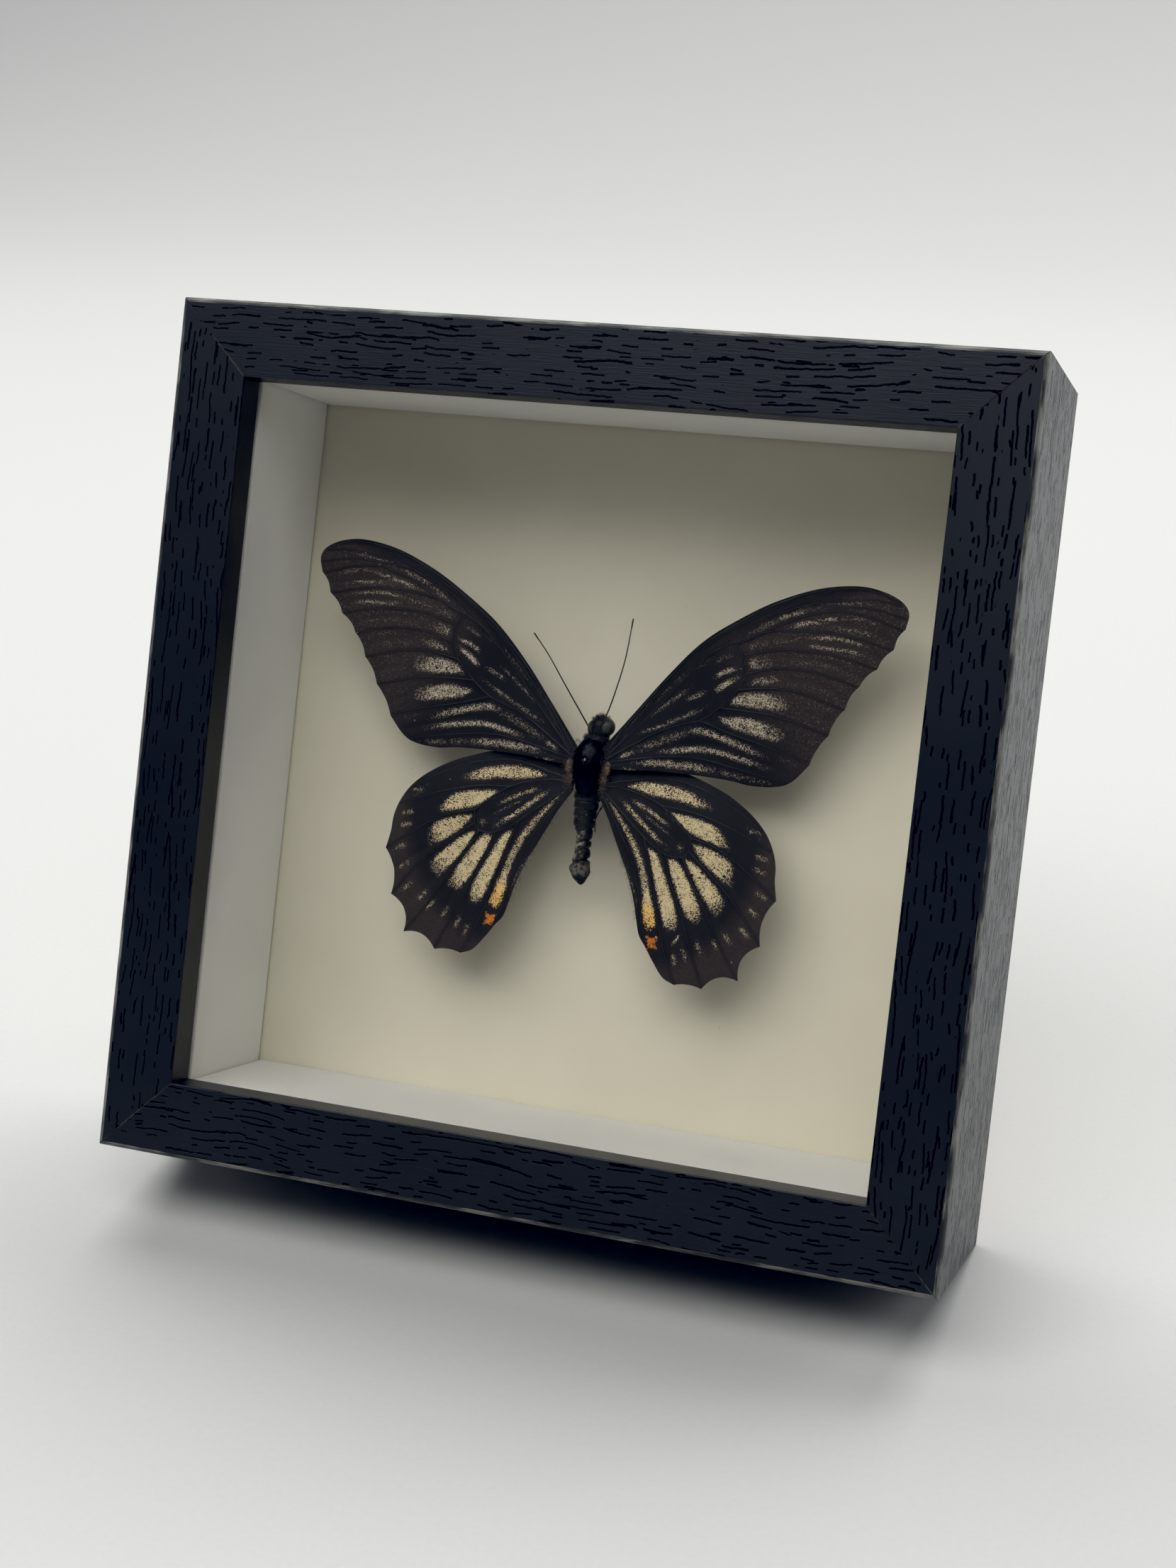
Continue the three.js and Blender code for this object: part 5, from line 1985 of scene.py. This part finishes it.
@dataclass
class Limbs:
    """Antennae, legs and the pin."""

    depth: float = BODY_DEPTH
    antenna_steps: int = 90
    leg_steps: int = 64

    def antennae(self, skin: bpy.types.Material) -> None:
        """Draws the two antennae, each with a slim club.

        Args:
            skin: Their material.
        """
        lines = {
            "left": ((-1.1, 26.6, 8.3), (-5.8, 26, 14.8), (-9.5, 25.8, 19.9), (-12.8, 26, 23.6)),
            "right": ((1.15, 25.8, 7.9), (2.35, 25.2, 10.1), (3.4, 25.6, 14.3), (4.65, 25.7, 20.7),
                      (5.2, 26, 27.9)),
        }
        for side, points in lines.items():
            path = smooth_line(points, self.antenna_steps) + (0, 0, FRAME_MIDDLE)
            share = np.linspace(0, 1, self.antenna_steps)
            rings = 0.012 * np.abs(np.sin(share * math.pi * 34))
            club = 0.05 * ease(share, 0.9, 0.96) * (1 - ease(share, 0.985, 1.0) * 0.6)
            radius = 0.13 - 0.045 * share + rings + club
            antenna = tubes(f"antenna_{side}_thread", [path], [radius], 2)
            finish_with(antenna, skin)
            stand(antenna, CASE, "limb", f"antenna_{side}")

    def legs(self, skin: bpy.types.Material) -> None:
        """Draws the six folded legs, thick at the thigh and knotted at each joint.

        Args:
            skin: Their material.
        """
        under = self.depth + 3.4
        for index, (pair, height) in enumerate((("front", 4.2), ("middle", 1.6), ("hind", -1))):
            for side in (-1, 1):
                spread = side * (1 + 0.7 * index)
                points = (
                    (spread, under - 0.9, height), (spread + side * 1.1, under + 1.4, height - 1.2),
                    (spread + side * (0.9 - 0.6 * index), under + 1.5, height - 4.2),
                    (spread - side * 0.7 * index, under + 0.9, height - 7),
                    (spread - side * 0.2 * (1 + 3 * index), under + 1.3, height - 9.6),
                )
                path = smooth_line(points, self.leg_steps) + (0, 0, FRAME_MIDDLE)
                share = np.linspace(0, 1, self.leg_steps)
                thigh = 0.12 * np.exp(-(((share - 0.2) / 0.14) ** 2))
                knots = 0.05 * sum(np.exp(-(((share - k) / 0.02) ** 2)) for k in (0.36, 0.62, 0.75, 0.86))
                radius = 0.17 + thigh + knots - 0.08 * share
                place = "left" if side < 0 else "right"
                leg = tubes(f"leg_{pair}_{place}_joints", [path], [radius], 2)
                finish_with(leg, skin)
                stand(leg, CASE, "limb", f"leg_{pair}_{place}")

    def pin(self) -> None:
        """Draws the steel pin, with a small rounded end that shows in the thorax."""
        start = self.depth - 3.1
        depths = np.array([start, start + 0.06, start + 0.16, start + 0.3, BOARD_FRONT + 1.7])
        path = np.stack([0 * depths, depths, 0 * depths + FRAME_MIDDLE + PIN_HEIGHT], axis=1)
        pin = tubes("steel_specimen_pin", [path], [np.array([0.1, 0.19, 0.24, 0.25, 0.25])], 4)
        finish_with(pin, Metal("pin_steel", (0.55, 0.55, 0.56), (0.4, 0.4, 0.4), 0.18).material())
        stand(pin, CASE, "pin_steel", "specimen_pin")

    def build(self) -> None:
        """Builds and dresses the limbs and the pin."""
        skin = Horn("limb_skin", (0.008, 0.0075, 0.0075), roughness=0.4, wrinkle=0.02, dried=False).material()
        self.antennae(skin)
        self.legs(skin)
        self.pin()


@dataclass
class Dust:
    """Specks and short fibres that have settled inside the glass."""

    count: int = 46
    seed: int = 77
    reach: Flat = (58, 57)

    def build(self) -> None:
        """Scatters the specks over the glass's inner face."""
        rng = np.random.default_rng(self.seed)
        across, up = self.reach
        x = rng.uniform(-across, across, self.count)
        z = rng.uniform(FRAME_MIDDLE - up, FRAME_MIDDLE + up, self.count)
        y = np.full(self.count, GLASS_BACK + 0.03)
        angle = rng.uniform(0, 2 * math.pi, self.count)
        size = rng.uniform(0.08, 0.34, self.count) ** 1.2
        runs = np.stack([np.cos(angle) * size, 0 * angle + 0.01, np.sin(angle) * size], axis=1)
        specks = hairs("glass_dust", np.stack([x, y, z], axis=1), runs, 0.045, 0.2, self.seed + 1)
        finish_with(specks, Hair("pale_dust", (0.55, 0.54, 0.5), (0.8, 0.8, 0.76)).material())
        stand(specks, CASE, "glass")


# ---- Studio -------------------------------------------------------------------------------


@dataclass(frozen=True)
class SoftLight:
    """A rectangular soft light: where it hangs, what it points at, its size in metres and its watts."""

    name: str
    place: Point
    target: Point
    size: Flat
    power: float
    tint: Colour = (1, 1, 1)

    def hang(self) -> None:
        """Adds the light to the scene."""
        data = bpy.data.lights.new(self.name, "AREA")
        data.shape = "RECTANGLE"
        data.size, data.size_y = self.size
        data.energy = self.power
        data.color = self.tint
        lamp = bpy.data.objects.new(self.name, data)
        lamp.location = self.place
        aim = Vector(self.target) - Vector(self.place)
        lamp.rotation_euler = aim.to_track_quat("-Z", "Y").to_euler()
        bpy.context.scene.collection.objects.link(lamp)


@dataclass
class Studio:
    """Camera, pale sweep and soft lights."""

    camera_place: Point = (0.11946, -0.35943, 0.22629)
    camera_turn: Point = (68.001, 0.023, 18.571)
    lens: float = 52.43
    sweep_back: float = 0.95
    sweep_radius: float = 1.0
    sweep_front: float = 1.6
    sweep_width: float = 4.4
    sweep_height: float = 1.3
    sweep_steps: int = 16
    floor_tones: tuple[Colour, Colour] = ((0.69, 0.695, 0.68), (0.73, 0.735, 0.72))
    surround: Colour = (0.75, 0.92, 1.25)
    surround_power: float = 0.05
    black_level: Colour = (0.0085, 0.0078, 0.0050)
    lights: tuple[SoftLight, ...] = (
        SoftLight("overhead", (-0.15, 0.84, 1.42), (-0.05, -0.15, 0), (2.3, 0.7), 26, (1, 0.99, 0.975)),
        SoftLight("front_key", (-0.16, -0.66, 1.3), (0, 0, 0.08), (1.7, 0.7), 10, (1, 0.985, 0.955)),
        SoftLight("front_low", (-0.36, -0.86, 1.03), (0, 0, 0.1), (1.1, 0.25), 2.1, (1, 0.985, 0.955)),
        SoftLight("left_low", (-1.7, 0.25, 0.5), (0, 0, 0.03), (1.2, 0.6), 3),
        SoftLight("right_back", (1.5, 0.9, 0.6), (0.05, 0.1, 0.08), (0.9, 1.0), 10.5),
    )

    def camera(self) -> None:
        """Sets the camera at the viewing angle."""
        data = bpy.data.cameras.new("camera")
        data.lens = self.lens
        data.sensor_width = 36
        data.clip_start = 0.01
        camera = bpy.data.objects.new("camera", data)
        camera.location = self.camera_place
        camera.rotation_euler = Euler([math.radians(a) for a in self.camera_turn])
        bpy.context.scene.collection.objects.link(camera)
        bpy.context.scene.camera = camera

    def sweep(self) -> None:
        """Extrudes a pale floor up into a curved backdrop."""
        put_down()
        bpy.ops.mesh.primitive_plane_add(size=1, location=(0, 0, 0))
        floor = bpy.context.object
        floor.name = "pale_sweep"
        half = self.sweep_width / 2
        corners = {(-1, -1): (-half, -self.sweep_front), (1, -1): (half, -self.sweep_front),
                   (-1, 1): (-half, self.sweep_back), (1, 1): (half, self.sweep_back)}
        for point in floor.data.vertices:
            key = (1 if point.co.x > 0 else -1, 1 if point.co.y > 0 else -1)
            point.co = (*corners[key], 0)
        quarter = math.pi / 2
        for step in range(1, self.sweep_steps + 1):
            angle = quarter * step / self.sweep_steps
            last = quarter * (step - 1) / self.sweep_steps
            rise = self.sweep_radius * (math.cos(last) - math.cos(angle))
            run = self.sweep_radius * (math.sin(angle) - math.sin(last))
            self.extrude_back_edge(floor, (0, run, rise))
        self.extrude_back_edge(floor, (0, 0, self.sweep_height))
        take_up(floor)
        bpy.ops.object.shade_smooth()
        recipe = Recipe("pale_paper_floor")
        place = recipe.add("TexCoord", {}).outputs["Object"]
        grain = recipe.add("TexNoise", {"Vector": place, "Scale": 900.0, "Detail": 2.0}).outputs["Fac"]
        tone = recipe.blend(grain, *self.floor_tones)
        finish_with(floor, recipe.shade(Base_Color=tone, Roughness=1.0, Specular_IOR_Level=0.0))

    @staticmethod
    def extrude_back_edge(floor: bpy.types.Object, move: Point) -> None:
        """Extrudes the sweep's furthest edge.

        Args:
            floor: The sweep.
            move: How far and which way.
        """
        far = max((v.co.y, v.co.z) for v in floor.data.vertices)
        pick(floor, Pick.EDGES, lambda c: near(c.y, far[0], 1e-5) and near(c.z, far[1], 1e-5))
        bpy.ops.mesh.extrude_region_move(TRANSFORM_OT_translate={"value": move})
        put_down()

    def world(self) -> None:
        """Sets a dim, even surround."""
        world = bpy.data.worlds.new("surround")
        world.use_nodes = True
        background = world.node_tree.nodes["Background"]
        background.inputs["Color"].default_value = (*self.surround, 1)
        background.inputs["Strength"].default_value = self.surround_power
        bpy.context.scene.world = world

    def build(self) -> None:
        """Sets up everything round the object."""
        self.camera()
        self.sweep()
        self.world()
        for light in self.lights:
            light.hang()
        self.develop()

    def develop(self) -> None:
        """Develops the picture plainly, with deep and slightly cool blacks."""
        settings = bpy.context.scene.view_settings
        settings.view_transform = "Standard"
        settings.use_curve_mapping = True
        settings.curve_mapping.black_level = self.black_level
        settings.curve_mapping.update()


# ---- Putting it together ------------------------------------------------------------------


def build_wings() -> None:
    """Builds the four wings, the hindwings first."""
    vein_skin = Horn("vein_skin", (0.0060, 0.0058, 0.0065), roughness=0.3, wrinkle=0.01, dried=False)
    veins = vein_skin.material()
    for plan in (HINDWING, FOREWING):
        scales = WingScales(f"{plan.name}_scales", plan.cream).material()
        for side in (-1, 1):
            Wing(plan, side).build(scales, veins)


def main() -> None:
    """Builds the studio, the frame and the butterfly in order."""
    logging.basicConfig(level=logging.INFO, format="%(message)s")
    Studio().build()
    Moulding().build()
    BoxContents().build()
    Hardware().build()
    build_wings()
    Body().build()
    WingBases().build()
    Limbs().build()
    Dust().build()
    put_down()


if __name__ == "__main__":
    main()
